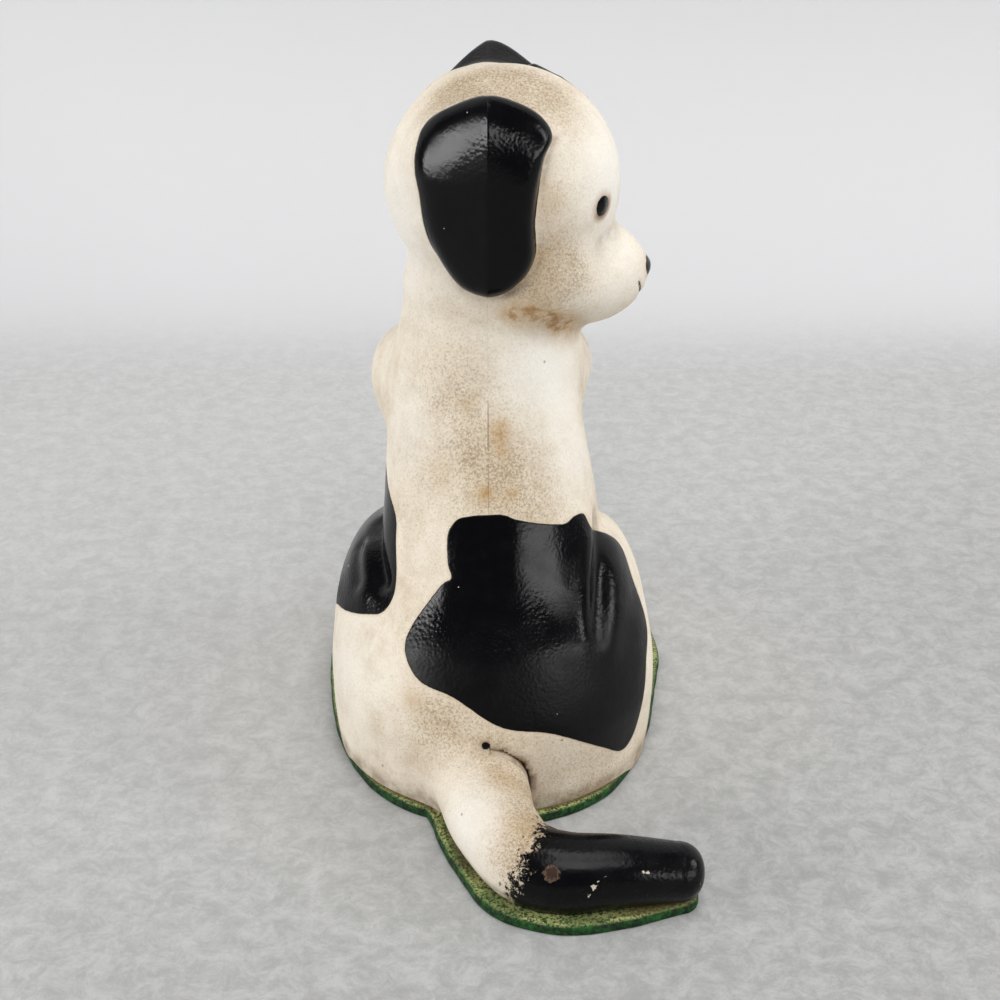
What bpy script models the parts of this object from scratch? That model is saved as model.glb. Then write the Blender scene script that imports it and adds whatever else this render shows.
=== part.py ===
"""Cast iron doorstop: a sitting puppy cast in two hollow halves that one screw holds together.

The body sits facing +Y with its head turned to its own right, +X. The halves part on the upright plane
through the spine, the crown and the ridges of both ears. The left half carries the tail and the tail's share of
the thin ground plate. All pieces hang from one empty, which stands the finished figure on the middle of its
bounding box, so the parting plane lies a little to the left of the frame's origin.
"""

import math
from dataclasses import dataclass, replace

import bmesh
import bpy
from mathutils import Matrix, Vector
from mathutils.geometry import interpolate_bezier

MM = 0.001


@dataclass(frozen=True)
class Mass:
    """One rounded mass of the figure: an ellipsoid given by its centre and half sizes, in millimetres.

    The lower half is as many times longer as its stretch says, so that a large mass stands almost upright.
    """

    centre: tuple[float, float, float]
    radii: tuple[float, float, float]
    stretch: float = 1.0


@dataclass(frozen=True)
class Station:
    """A place along a limb or the tail: a centre and a radius, in millimetres."""

    centre: tuple[float, float, float]
    radius: float


# Casting
WALL = 4.5
PARTING_GAP = 0.3
TAIL_GAP = 0.5
PLATE_THICKNESS = 3.0
PLATE_EDGE_RADIUS = 0.8

# Body, seen from its own back: -X is its left and +X its right
RUMP = Mass((1.4, -18.9, 20.0), (42.5, 42.8, 34.3), stretch=2.2)
HAUNCH_LEFT = Mass((-24.0, -8.0, 25.8), (18.0, 33.0, 34.7), stretch=2.2)
HAUNCH_RIGHT = Mass((27.6, -8.0, 24.6), (15.2, 33.0, 33.4), stretch=2.2)
LOINS = Station((2.0, -22.0, 36.0), 31.5)
WITHERS = Station((-1.2, -3.5, 97.0), 24.0)
CHEST = Mass((-1.1, 9.0, 84.0), (21.4, 28.5, 30.0))
BRISKET = Mass((0.0, 17.0, 42.0), (16.5, 23.0, 44.0))
SHOULDER_LEFT = Mass((-20.7, 14.0, 92.0), (10.4, 18.0, 12.9))
SHOULDER_RIGHT = Mass((16.4, 14.0, 95.4), (11.0, 18.0, 11.5))
ELBOW = Station((14.3, 25.0, 82.0), 12.0)
WRIST = Station((14.0, 38.0, 13.0), 9.0)
FORE_PAW = Mass((14.5, 46.0, 9.0), (10.0, 14.0, 9.0))
HIND_FOOT_LEFT = Mass((-32.4, 21.0, 9.0), (11.3, 25.0, 10.0))
HIND_FOOT_RIGHT = Mass((34.9, 21.0, 9.0), (11.3, 25.0, 10.0))
NECK_LOW = Station((0.0, -1.0, 101.0), 20.8)
NECK_HIGH = Station((1.5, 0.0, 121.0), 23.0)

# Head, with its face to the figure's right
SKULL = Mass((3.7, 0.0, 148.9), (29.0, 28.2, 28.0))
TEMPLE = Mass((-0.6, 14.5, 157.1), (19.1, 12.4, 16.7))
CHEEK = Mass((9.5, 14.5, 130.5), (16.3, 11.0, 14.8))
JOWL = Mass((15.7, 0.0, 126.0), (19.0, 20.0, 12.0))
MUZZLE = Mass((25.1, 0.0, 125.7), (15.1, 14.5, 12.2))
NOSE = Mass((37.9, 0.0, 127.6), (3.0, 4.6, 3.4))

# Ears: flaps against the sides of the head, the near one rounded at its top and the far one peaked
NEAR_EAR_OUTLINE = (
    (0.0, 176.8),
    (6.6, 175.2),
    (12.6, 171.6),
    (15.4, 167.0),
    (13.6, 162.0),
    (12.0, 155.0),
    (11.2, 147.0),
    (10.4, 140.0),
    (6.6, 133.5),
    (1.2, 130.5),
    (-6.9, 132.5),
    (-14.0, 142.0),
    (-16.8, 152.6),
    (-17.4, 162.0),
    (-13.7, 169.6),
    (-7.4, 174.0),
)
FAR_EAR_OUTLINE = (
    (1.0, 177.6),
    (12.9, 170.9),
    (15.6, 166.5),
    (13.4, 161.0),
    (11.8, 154.0),
    (11.0, 146.0),
    (10.2, 139.4),
    (6.6, 133.3),
    (1.2, 130.5),
    (-6.8, 132.8),
    (-13.7, 142.7),
    (-16.3, 153.0),
    (-16.0, 162.0),
    (-11.6, 168.8),
)
EAR_ROOT_REACH = 13.0
EAR_ROOT_SHARE = 0.8
EAR_RINGS = ((1.0, 0.0), (0.92, 0.7), (0.7, 1.0), (0.3, 1.0))
EAR_RIM_REACH = 31.2
EAR_THICKNESS = 2.6
EAR_TOP_TUCK = 3.0
EAR_TUCK_LENGTH = 16.0
EAR_TIP_LEAN = 3.0
EAR_FALL_BACK = 8.5
EAR_FALL_FRONT = 1.5
EAR_TOP_FALL = 5.0

# Tail, cast with the left half and curled round to the right
TAIL = (
    Station((-3.0, -45.0, 11.9), 11.6),
    Station((-1.1, -64.6, 10.8), 11.5),
    Station((2.1, -77.8, 10.5), 10.3),
    Station((8.6, -88.6, 9.5), 9.9),
    Station((17.5, -92.6, 9.4), 9.7),
    Station((30.4, -92.7, 9.9), 8.6),
    Station((44.0, -91.6, 8.8), 7.1),
)
TAIL_PLATE_MARGINS = (1.6, 1.3, 0.8, 2.2, 2.0, 0.9, -1.4)

# Ground plate round the body, point by point from the tail towards the left
PLATE_OUTLINE = (
    (0.0, -62.5),
    (-17.2, -58.6),
    (-30.3, -47.4),
    (-39.6, -28.0),
    (-44.1, -6.0),
    (-46.0, 20.0),
    (-42.0, 43.0),
    (-25.0, 58.5),
    (0.0, 63.0),
    (26.0, 59.0),
    (44.5, 44.0),
    (49.6, 20.0),
    (47.6, 2.0),
    (42.5, -25.0),
    (32.5, -48.0),
    (17.5, -59.8),
)

# Screw across the chest, its head sunk in the left flank
SCREW_Y = 19.0
SCREW_Z = 83.0
SCREW_RADIUS = 2.4
SCREW_CLEARANCE = 0.3
SCREW_HEAD_RADIUS = 4.6
SCREW_HEAD_HEIGHT = 3.3
SCREW_HEAD_STEPS = 6
SCREW_SLOT_WIDTH = 1.1
SCREW_SLOT_DEPTH = 1.7
SCREW_TIP_CHAMFER = 0.8
SCREW_GRIP = 13.0
SCREW_SEAT_DEPTH = 3.4
BOSS_RADIUS = 7.0
HOLE_END_CLEARANCE = 1.5

# Locating lugs on the inner rim: a pip on the left half enters a socket in the right half
LUG_RADIUS = 5.0
LUG_REACH = 8.0
LUG_OVERHANG = 2.0
SPINE_LUG_Z = 66.0
CROWN_LUG_Y = 0.0
PIP_RADIUS = 2.0
PIP_HEIGHT = 2.5

# Fineness of the surfaces
SKIN_VOXEL = 2.1
SKIN_SMOOTHING = 5
SKIN_TRIANGLES = 6400
CORE_VOXEL = 3.4
CORE_SMOOTHING = 4
CORE_TRIANGLES = 1500
TAIL_TRIANGLES = 760
ROOM_TRIANGLES = 1800
PLATE_STEPS = 4
LOOP_STEPS = 2
ROUND_SIDES = 28
FAR = 400.0

# Colours and finishes
CREAM_PAINT = ((0.79, 0.73, 0.62, 1.0), 0.45, 0.0)
STEEL = ((0.42, 0.40, 0.37, 1.0), 0.42, 0.9)


def clear_scene():
    """Remove every object, so that the model is all the scene holds."""
    for item in list(bpy.data.objects):
        bpy.data.objects.remove(item, do_unlink=True)


def principled(name, finish):
    """Return a Principled BSDF material with the finish's colour, roughness and metallic value."""
    colour, roughness, metallic = finish
    material = bpy.data.materials.new(name)
    material.use_nodes = True
    shader = material.node_tree.nodes["Principled BSDF"]
    shader.inputs["Base Color"].default_value = colour
    shader.inputs["Roughness"].default_value = roughness
    shader.inputs["Metallic"].default_value = metallic
    return material


def mirrored(form):
    """Return the same mass or station on the other side of the parting plane or of the head."""
    x, y, z = form.centre
    return replace(form, centre=(-x, y, z))


def across_head(mass):
    """Return the same mass on the other side of the head, which faces +X."""
    x, y, z = mass.centre
    return replace(mass, centre=(x, -y, z))


def shrunk(form, wall):
    """Return the form drawn in by the wall's thickness all round."""
    if isinstance(form, Mass):
        return replace(form, radii=tuple(radius - wall for radius in form.radii))
    return replace(form, radius=form.radius - wall)


def link(name, bm):
    """Turn a bmesh into a linked object, freeing the bmesh, and return the object."""
    bmesh.ops.recalc_face_normals(bm, faces=bm.faces)
    mesh = bpy.data.meshes.new(name)
    bm.to_mesh(mesh)
    bm.free()
    item = bpy.data.objects.new(name, mesh)
    bpy.context.collection.objects.link(item)
    return item


def as_cutter(item):
    """Mark an object as a tool of the model, not a piece of it."""
    item.hide_render = True
    item.display_type = "WIRE"
    return item


def add_ball(bm, mass):
    """Add an ellipsoid to the bmesh, its lower half stretched as the mass says."""
    place = Matrix.Translation(Vector(mass.centre) * MM) @ Matrix.Diagonal(Vector((*mass.radii, 1.0)))
    middle = mass.centre[2] * MM
    for vert in bmesh.ops.create_icosphere(bm, subdivisions=3, radius=MM, matrix=place)["verts"]:
        if vert.co.z < middle:
            vert.co.z = middle + (vert.co.z - middle) * mass.stretch


def add_limb(bm, start, end):
    """Add the hull of two balls: a round limb that tapers from one station to the next."""
    hull = bmesh.new()
    for station in (start, end):
        add_ball(hull, Mass(station.centre, (station.radius,) * 3))
    bmesh.ops.delete(hull, geom=hull.edges, context="EDGES_FACES")
    found = bmesh.ops.convex_hull(hull, input=hull.verts)
    bmesh.ops.delete(hull, geom=[v for v in found["geom_interior"] if v.is_valid], context="VERTS")
    mesh = bpy.data.meshes.new("limb")
    hull.to_mesh(mesh)
    hull.free()
    bm.from_mesh(mesh)
    bpy.data.meshes.remove(mesh)


def baked(item):
    """Replace an object's mesh by what its modifiers make of it, and return the object."""
    depsgraph = bpy.context.evaluated_depsgraph_get()
    depsgraph.update()
    result = bpy.data.meshes.new_from_object(item.evaluated_get(depsgraph), depsgraph=depsgraph)
    item.modifiers.clear()
    item.data = result
    return item


def joined_skin(name, masses, limbs, voxel, smoothing, triangles):
    """Melt masses and limbs into one smooth closed skin with about the given number of triangles."""
    bm = bmesh.new()
    for mass in masses:
        add_ball(bm, mass)
    for start, end in limbs:
        add_limb(bm, start, end)
    skin = link(name, bm)
    remesh = skin.modifiers.new("one skin", "REMESH")
    remesh.mode = "VOXEL"
    remesh.voxel_size = voxel * MM
    smooth = skin.modifiers.new("cast softness", "SMOOTH")
    smooth.factor = 0.5
    smooth.iterations = smoothing
    baked(skin)
    full_count = sum(len(face.vertices) - 2 for face in skin.data.polygons)
    decimate = skin.modifiers.new("fewer facets", "DECIMATE")
    decimate.ratio = min(1.0, triangles / full_count)
    decimate.use_collapse_triangulate = True
    return as_cutter(baked(skin))


def combine(item, tool, operation):
    """Join, cut or keep the overlap of an object and a tool with an exact Boolean."""
    modifier = item.modifiers.new(operation.lower() + " " + tool.name, "BOOLEAN")
    modifier.operation = operation
    modifier.solver = "EXACT"
    modifier.object = tool
    return item


def copy_of(item, name):
    """Return a linked copy of an object with a mesh of its own."""
    twin = bpy.data.objects.new(name, item.data.copy())
    bpy.context.collection.objects.link(twin)
    return as_cutter(twin)


def box(name, low, high):
    """Return a box between two corners, as a tool."""
    low_corner = Vector(low) * MM
    high_corner = Vector(high) * MM
    bm = bmesh.new()
    size = high_corner - low_corner
    place = Matrix.Translation((low_corner + high_corner) / 2) @ Matrix.Diagonal((*size, 1.0))
    bmesh.ops.create_cube(bm, size=1.0, matrix=place)
    return as_cutter(link(name, bm))


def rod_along_x(name, radius, x_from, x_to, y, z):
    """Return a round rod along X, as a tool."""
    bm = bmesh.new()
    turn = Matrix.Rotation(math.radians(90.0), 4, "Y")
    place = Matrix.Translation(Vector(((x_from + x_to) / 2, y, z)) * MM) @ turn
    bmesh.ops.create_cone(
        bm,
        cap_ends=True,
        segments=ROUND_SIDES,
        radius1=radius * MM,
        radius2=radius * MM,
        depth=(x_to - x_from) * MM,
        matrix=place,
    )
    return as_cutter(link(name, bm))


def smooth_loop(points, steps):
    """Return points on a smooth closed curve through the given flat points, steps to each span."""
    loop = []
    count = len(points)
    for index in range(count):
        before, start, end, after = (Vector(points[(index + shift) % count]) for shift in (-1, 0, 1, 2))
        handle_out = start + (end - before) / 6.0
        handle_in = end - (after - start) / 6.0
        span = interpolate_bezier(handle_pad(start), handle_pad(handle_out), handle_pad(handle_in),
                                  handle_pad(end), steps + 1)
        loop.extend((point.x, point.y) for point in span[:-1])
    return loop


def handle_pad(point):
    """Return a flat point as a point in space, which the Bezier function needs."""
    return Vector((point[0], point[1], 0.0))


def widened(loop, distance):
    """Return a closed loop of flat points, clockwise seen from above, moved outwards by a distance."""
    wide = []
    for index, (x, y) in enumerate(loop):
        ahead = Vector(loop[(index + 1) % len(loop)]) - Vector(loop[index - 1])
        ahead.normalize()
        wide.append((x - ahead.y * distance, y + ahead.x * distance))
    return wide


def prism(outline, low, high):
    """Return the bmesh of an upright prism over the outline between two heights."""
    bm = bmesh.new()
    corners = [bm.verts.new((x * MM, y * MM, low * MM)) for x, y in outline]
    bottom = bm.faces.new(corners)
    raised = bmesh.ops.extrude_face_region(bm, geom=[bottom])
    top = [part for part in raised["geom"] if isinstance(part, bmesh.types.BMVert)]
    bmesh.ops.translate(bm, verts=top, vec=(0.0, 0.0, (high - low) * MM))
    return bm


def plate(name, outline):
    """Return a flat plate on the ground with the outline, its upper edge slightly rounded."""
    bm = prism(outline, 0.0, PLATE_THICKNESS)
    rim = [edge for edge in bm.edges if all(vert.co.z > PLATE_THICKNESS * MM / 2 for vert in edge.verts)]
    bmesh.ops.bevel(bm, geom=rim, offset=PLATE_EDGE_RADIUS * MM, segments=1, affect="EDGES")
    return as_cutter(link(name, bm))


def tail_plate_outline():
    """Return the tail's footprint, widened by the plate's margins, as a smooth loop."""
    centres = [Vector(station.centre[:2]) for station in TAIL]
    reaches = [station.radius + margin for station, margin in zip(TAIL, TAIL_PLATE_MARGINS)]
    left_side = []
    right_side = []
    for index, centre in enumerate(centres):
        ahead = centres[min(index + 1, len(centres) - 1)] - centres[max(index - 1, 0)]
        across = Vector((-ahead.y, ahead.x)).normalized()
        left_side.append(centre + across * reaches[index])
        right_side.append(centre - across * reaches[index])
    end_way = (centres[-1] - centres[-2]).normalized()
    end_across = Vector((-end_way.y, end_way.x))
    cap = []
    for degrees in (60.0, 30.0, 0.0, -30.0, -60.0):
        angle = math.radians(degrees)
        way = end_way * math.cos(angle) + end_across * math.sin(angle)
        cap.append(centres[-1] + way * reaches[-1])
    return smooth_loop([tuple(point) for point in left_side + cap + right_side[::-1]], LOOP_STEPS)


def ear_reach(x, below_top, width, length):
    """Return how far an ear's rim stands from the head's middle at a place on its outline.

    The ear is furthest out along its ridge. It falls away to the front and the back, more so at the top,
    where it is tucked in to fold over, and it leans in a little towards the tip.
    """
    tuck = max(0.0, 1.0 - below_top / EAR_TUCK_LENGTH)
    fall = (EAR_FALL_FRONT if x > 0.0 else EAR_FALL_BACK) + EAR_TOP_FALL * tuck
    inward = EAR_TOP_TUCK * tuck**2 + EAR_TIP_LEAN * below_top / length
    return EAR_RIM_REACH - fall * abs(x) / width - inward


def inset(outline, middle_z, share):
    """Return an ear's outline drawn in towards the ear's middle, to a share of its size."""
    return [(x * share, middle_z + (z - middle_z) * share) for x, z in outline]


def ear(name, side, corners):
    """Return one ear: a rounded flap whose outer face is ridged where the halves meet.

    Rings of points run from the buried root out to the flap's rim and then in towards its middle. Each ring
    after the root is a share of the outline, raised by a share of the ear's thickness.
    """
    outline = smooth_loop(corners, LOOP_STEPS)
    width = max(abs(x) for x, _ in outline)
    top = max(z for _, z in outline)
    length = top - min(z for _, z in outline)
    middle_z = top - length / 2
    bm = bmesh.new()
    places = [[(x, EAR_ROOT_REACH, z) for x, z in inset(outline, middle_z, EAR_ROOT_SHARE)]]
    for share, rise in EAR_RINGS:
        ring = []
        for x, z in inset(outline, middle_z, share):
            ring.append((x, ear_reach(x, top - z, width, length) + EAR_THICKNESS * rise, z))
        places.append(ring)
    rings = []
    for ring in places:
        rings.append([bm.verts.new((x * MM, side * reach * MM, z * MM)) for x, reach, z in ring])
    bm.faces.new(rings[0])
    bm.faces.new(rings[-1])
    for inner, outer in zip(rings, rings[1:]):
        for index, vert in enumerate(inner):
            following = (index + 1) % len(inner)
            bm.faces.new((vert, inner[following], outer[following], outer[index]))
    bmesh.ops.triangulate(bm, faces=bm.faces)
    return as_cutter(link(name, bm))


def figure_masses():
    """Return the masses of the body and the head, all of them rounded and overlapping."""
    masses = [RUMP, HAUNCH_LEFT, HAUNCH_RIGHT, CHEST, BRISKET, SHOULDER_LEFT, SHOULDER_RIGHT]
    masses += [SKULL, JOWL, MUZZLE, NOSE]
    masses += [HIND_FOOT_LEFT, HIND_FOOT_RIGHT, FORE_PAW, mirrored(FORE_PAW)]
    for paired in (TEMPLE, CHEEK):
        masses += [paired, across_head(paired)]
    return masses


def solid_figure():
    """Return the whole figure without its tail, solid and standing on its ground plate."""
    limbs = [
        (LOINS, WITHERS),
        (NECK_LOW, NECK_HIGH),
        (ELBOW, WRIST),
        (mirrored(ELBOW), mirrored(WRIST)),
    ]
    figure = joined_skin("figure", figure_masses(), limbs, SKIN_VOXEL, SKIN_SMOOTHING, SKIN_TRIANGLES)
    combine(figure, ear("far_ear", 1.0, FAR_EAR_OUTLINE), "UNION")
    combine(figure, ear("near_ear", -1.0, NEAR_EAR_OUTLINE), "UNION")
    combine(figure, box("above_ground", (-FAR, -FAR, PLATE_THICKNESS / 2), (FAR, FAR, FAR)), "INTERSECT")
    combine(figure, plate("body_plate", smooth_loop(PLATE_OUTLINE, PLATE_STEPS)), "UNION")
    return as_cutter(baked(figure))


def hollow_core():
    """Return the hollow's shape: the larger masses drawn in by the wall, with bosses and lugs left standing."""
    masses = [shrunk(mass, WALL) for mass in (RUMP, HAUNCH_LEFT, HAUNCH_RIGHT, CHEST, BRISKET, SKULL, JOWL)]
    limbs = [
        (shrunk(LOINS, WALL), shrunk(WITHERS, WALL)),
        (shrunk(NECK_LOW, WALL), shrunk(NECK_HIGH, WALL)),
    ]
    core = joined_skin("core", masses, limbs, CORE_VOXEL, CORE_SMOOTHING, CORE_TRIANGLES)
    combine(core, box("above_floor", (-FAR, -FAR, PLATE_THICKNESS + WALL), (FAR, FAR, FAR)), "INTERSECT")
    places = lug_places(core)
    combine(core, rod_along_x("boss", BOSS_RADIUS, -FAR, FAR, SCREW_Y, SCREW_Z), "DIFFERENCE")
    for number, (lug_y, lug_z) in enumerate(places):
        lug = rod_along_x(f"lug_{number}", LUG_RADIUS, -LUG_REACH, LUG_REACH, lug_y, lug_z)
        combine(core, lug, "DIFFERENCE")
    return as_cutter(baked(core)), places


def lug_places(core):
    """Return where the lugs stand on the parting plane: inside the spine and under the crown."""
    spine = meeting_point(core, (0.0, -FAR, SPINE_LUG_Z), (0.0, 1.0, 0.0))
    crown = meeting_point(core, (0.0, CROWN_LUG_Y, FAR), (0.0, 0.0, -1.0))
    return ((spine.y + LUG_OVERHANG, SPINE_LUG_Z), (CROWN_LUG_Y, crown.z - LUG_OVERHANG))


def room_for_right_half():
    """Return the room that the right half needs beside the tail, widened by the gap."""
    masses = [shrunk(mass, -TAIL_GAP) for mass in (RUMP, HAUNCH_RIGHT)]
    limbs = [(shrunk(LOINS, -TAIL_GAP), shrunk(WITHERS, -TAIL_GAP))]
    body = joined_skin("room_for_body", masses, limbs, SKIN_VOXEL, SKIN_SMOOTHING, ROOM_TRIANGLES)
    outline = widened(smooth_loop(PLATE_OUTLINE, PLATE_STEPS), TAIL_GAP)
    floor = as_cutter(link("room_for_plate", prism(outline, -TAIL_GAP, PLATE_THICKNESS + TAIL_GAP)))
    right_side = box("right_of_parting", (-PARTING_GAP / 2, -FAR, -FAR), (FAR, FAR, FAR))
    return [baked(combine(item, right_side, "INTERSECT")) for item in (body, floor)]


def tail_casting():
    """Return the tail on its own plate, cut clear of the right half by the tail's gap."""
    limbs = list(zip(TAIL, TAIL[1:]))
    tail = joined_skin("tail", [], limbs, SKIN_VOXEL, SKIN_SMOOTHING, TAIL_TRIANGLES)
    combine(tail, box("tail_above_ground", (-FAR, -FAR, PLATE_THICKNESS / 2), (FAR, FAR, FAR)), "INTERSECT")
    combine(tail, plate("tail_plate", tail_plate_outline()), "UNION")
    for room in room_for_right_half():
        combine(tail, room, "DIFFERENCE")
    return as_cutter(baked(tail))


def meeting_point(item, start, way):
    """Return where a straight line first meets an object's surface, in millimetres."""
    met, place, _, _ = item.ray_cast(Vector(start) * MM, Vector(way))
    assert met, "the line has to meet the surface"
    return place / MM


def drill(half, name, radius, x_from, x_to, y, z):
    """Cut a round hole along X into a half."""
    combine(half, rod_along_x(name, radius, x_from, x_to, y, z), "DIFFERENCE")


def left_half(figure, core, tail, seat_x, places):
    """Return the left casting: its shell, the tail, the screw's sunk seat and hole, and the pips."""
    half = copy_of(figure, "left_half")
    combine(half, core, "DIFFERENCE")
    combine(half, box("left_side", (-FAR, -FAR, -FAR), (-PARTING_GAP / 2, FAR, FAR)), "INTERSECT")
    combine(half, tail, "UNION")
    drill(half, "screw_way", SCREW_RADIUS + SCREW_CLEARANCE, -FAR, 0.0, SCREW_Y, SCREW_Z)
    head_room = SCREW_HEAD_RADIUS + SCREW_CLEARANCE
    drill(half, "head_seat", head_room, -FAR, seat_x, SCREW_Y, SCREW_Z)
    for number, (lug_y, lug_z) in enumerate(places):
        pip = rod_along_x(f"pip_{number}", PIP_RADIUS, -PIP_HEIGHT, PIP_HEIGHT, lug_y, lug_z)
        combine(half, pip, "UNION")
    return half


def right_half(figure, core, places):
    """Return the right casting: its shell, the screw's blind hole and the sockets for the pips."""
    half = copy_of(figure, "right_half")
    combine(half, core, "DIFFERENCE")
    combine(half, box("right_side", (PARTING_GAP / 2, -FAR, -FAR), (FAR, FAR, FAR)), "INTERSECT")
    hole_end = SCREW_GRIP + HOLE_END_CLEARANCE
    drill(half, "screw_hole", SCREW_RADIUS + SCREW_CLEARANCE, -hole_end, hole_end, SCREW_Y, SCREW_Z)
    socket_end = PIP_HEIGHT + PARTING_GAP
    for number, (lug_y, lug_z) in enumerate(places):
        socket = f"socket_{number}"
        drill(half, socket, PIP_RADIUS + PARTING_GAP, -socket_end, socket_end, lug_y, lug_z)
    return half


def assembly_screw(seat_x):
    """Return the round-headed screw, turned about X, with a slot across its head."""
    head_x = seat_x - PARTING_GAP
    profile = []
    for step in range(SCREW_HEAD_STEPS, -1, -1):
        angle = math.radians(90.0) * step / SCREW_HEAD_STEPS
        profile.append((head_x - SCREW_HEAD_HEIGHT * math.sin(angle), SCREW_HEAD_RADIUS * math.cos(angle)))
    profile += [
        (head_x, SCREW_RADIUS),
        (SCREW_GRIP - SCREW_TIP_CHAMFER, SCREW_RADIUS),
        (SCREW_GRIP, SCREW_RADIUS - SCREW_TIP_CHAMFER),
        (SCREW_GRIP, 0.0),
    ]
    bm = bmesh.new()
    verts = [bm.verts.new((x * MM, 0.0, radius * MM)) for x, radius in profile]
    edges = [bm.edges.new(pair) for pair in zip(verts, verts[1:])]
    bmesh.ops.spin(
        bm,
        geom=verts + edges,
        cent=(0.0, 0.0, 0.0),
        axis=(1.0, 0.0, 0.0),
        angle=math.tau,
        steps=ROUND_SIDES,
        use_merge=True,
    )
    bmesh.ops.remove_doubles(bm, verts=bm.verts, dist=0.01 * MM)
    bmesh.ops.translate(bm, verts=bm.verts, vec=(0.0, SCREW_Y * MM, SCREW_Z * MM))
    screw = link("assembly_screw", bm)
    slot_floor = head_x - SCREW_HEAD_HEIGHT + SCREW_SLOT_DEPTH
    slot = box(
        "slot",
        (-FAR, SCREW_Y - SCREW_SLOT_WIDTH / 2, SCREW_Z - SCREW_HEAD_RADIUS * 2),
        (slot_floor, SCREW_Y + SCREW_SLOT_WIDTH / 2, SCREW_Z + SCREW_HEAD_RADIUS * 2),
    )
    return combine(screw, slot, "DIFFERENCE")


def finish_piece(item, material, parent):
    """Bake a piece, shade it, give it its material and hang it from the parent."""
    baked(item)
    item.hide_render = False
    item.display_type = "TEXTURED"
    item.data.materials.clear()
    item.data.materials.append(material)
    item.data.shade_smooth()
    item.data.set_sharp_from_angle(angle=math.radians(38.0))
    item.parent = parent


def stand_on_origin(parent, pieces):
    """Move the parent so that the pieces' joint box stands on the origin, centred over it."""
    corners = [vert.co for item in pieces for vert in item.data.vertices]
    middle_x = (min(corner.x for corner in corners) + max(corner.x for corner in corners)) / 2
    middle_y = (min(corner.y for corner in corners) + max(corner.y for corner in corners)) / 2
    parent.location = (-middle_x, -middle_y, 0.0)


def main():
    """Build the two castings and the screw."""
    clear_scene()
    figure = solid_figure()
    core, places = hollow_core()
    tail = tail_casting()
    seat_x = meeting_point(figure, (-FAR, SCREW_Y, SCREW_Z), (1.0, 0.0, 0.0)).x + SCREW_SEAT_DEPTH
    stand = bpy.data.objects.new("stand", None)
    bpy.context.collection.objects.link(stand)
    pieces = {
        left_half(figure, core, tail, seat_x, places): ("cream_paint_left", CREAM_PAINT),
        right_half(figure, core, places): ("cream_paint_right", CREAM_PAINT),
        assembly_screw(seat_x): ("screw_steel", STEEL),
    }
    for item, (material_name, finish) in pieces.items():
        finish_piece(item, principled(material_name, finish), stand)
    stand_on_origin(stand, pieces)


main()
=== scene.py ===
"""Looks of the cast iron doorstop: a sitting puppy cast in two halves and painted by hand.

Lengths are millimetres in the casting frame unless a name says otherwise. The halves part on x = 0, the
figure sits on z = 0 facing +Y, and its head is turned to +X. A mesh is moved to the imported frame, in metres,
as it is made. The castings' skin is the surface of one smooth distance field, met by rays that fan out from
inside the figure.
"""

from __future__ import annotations

import logging
import math
from dataclasses import dataclass
from enum import Enum
from typing import Callable, Sequence

import bpy
import numpy as np
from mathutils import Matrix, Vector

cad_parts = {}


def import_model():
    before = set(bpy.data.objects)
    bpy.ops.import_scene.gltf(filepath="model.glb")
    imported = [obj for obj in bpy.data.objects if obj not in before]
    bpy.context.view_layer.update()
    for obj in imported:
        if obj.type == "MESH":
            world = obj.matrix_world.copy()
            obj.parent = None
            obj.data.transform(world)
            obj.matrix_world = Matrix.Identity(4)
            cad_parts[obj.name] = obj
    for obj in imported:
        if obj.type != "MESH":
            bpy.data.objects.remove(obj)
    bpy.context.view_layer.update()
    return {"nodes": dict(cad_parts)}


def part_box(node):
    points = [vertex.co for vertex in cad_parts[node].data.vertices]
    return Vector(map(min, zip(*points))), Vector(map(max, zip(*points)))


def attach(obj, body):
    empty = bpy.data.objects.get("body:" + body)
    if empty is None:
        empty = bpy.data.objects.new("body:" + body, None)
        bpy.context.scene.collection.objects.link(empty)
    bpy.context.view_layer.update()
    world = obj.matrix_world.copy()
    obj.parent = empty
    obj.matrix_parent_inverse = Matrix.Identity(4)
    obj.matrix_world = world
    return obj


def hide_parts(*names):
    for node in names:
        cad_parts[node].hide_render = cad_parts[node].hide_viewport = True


LOG = logging.getLogger("doorstop")
MM = 0.001
PARTING_GAP = 0.3
PLATE_TOP = 3.0
SCREW_AXIS = (19.0, 83.0)
FIGURE_AXIS_Y = -6.0
UNEVENNESS = 0.22
PAINT_REACH = 12.0
FAR = 1e3
TINY = 1e-9
HALVINGS = 12

Array = np.ndarray
Field = Callable[[Array], Array]
Point = tuple[float, float, float]
Flat = tuple[float, float]
Colour = tuple[float, float, float, float]


class Side(Enum):
    """The half of the casting, by the sign of its X."""

    LEFT = -1.0
    RIGHT = 1.0


def smooth_min(first: Array, second: Array, fillet: float) -> Array:
    """Join two distances with a rounded inner corner.

    The lesser distance, less a quarter of the fillet times the square of how far the two agree, as a share of
    the fillet.

    Args:
        first: Distances to one form.
        second: Distances to the other form.
        fillet: Width of the rounding.

    Returns:
        The distances to the joined form.
    """
    overlap = np.maximum(fillet - np.abs(first - second), 0.0) / fillet
    return np.minimum(first, second) - overlap**2 * fillet * 0.25


def smooth_max(first: Array, second: Array, fillet: float) -> Array:
    """Keep what two forms share, with a rounded outer corner."""
    return -smooth_min(-first, -second, fillet)


def ramp(low: float, high: float, values: Array) -> Array:
    """Rise smoothly from 0 at low to 1 at high: three squares less two cubes of the share between."""
    share = np.clip((values - low) / (high - low), 0.0, 1.0)
    return share * share * (3.0 - 2.0 * share)


def bell(values: Array, width: float) -> Array:
    """Fall from 1 at zero along a bell curve of the given width."""
    return np.exp(-((values / width) ** 2))


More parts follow.
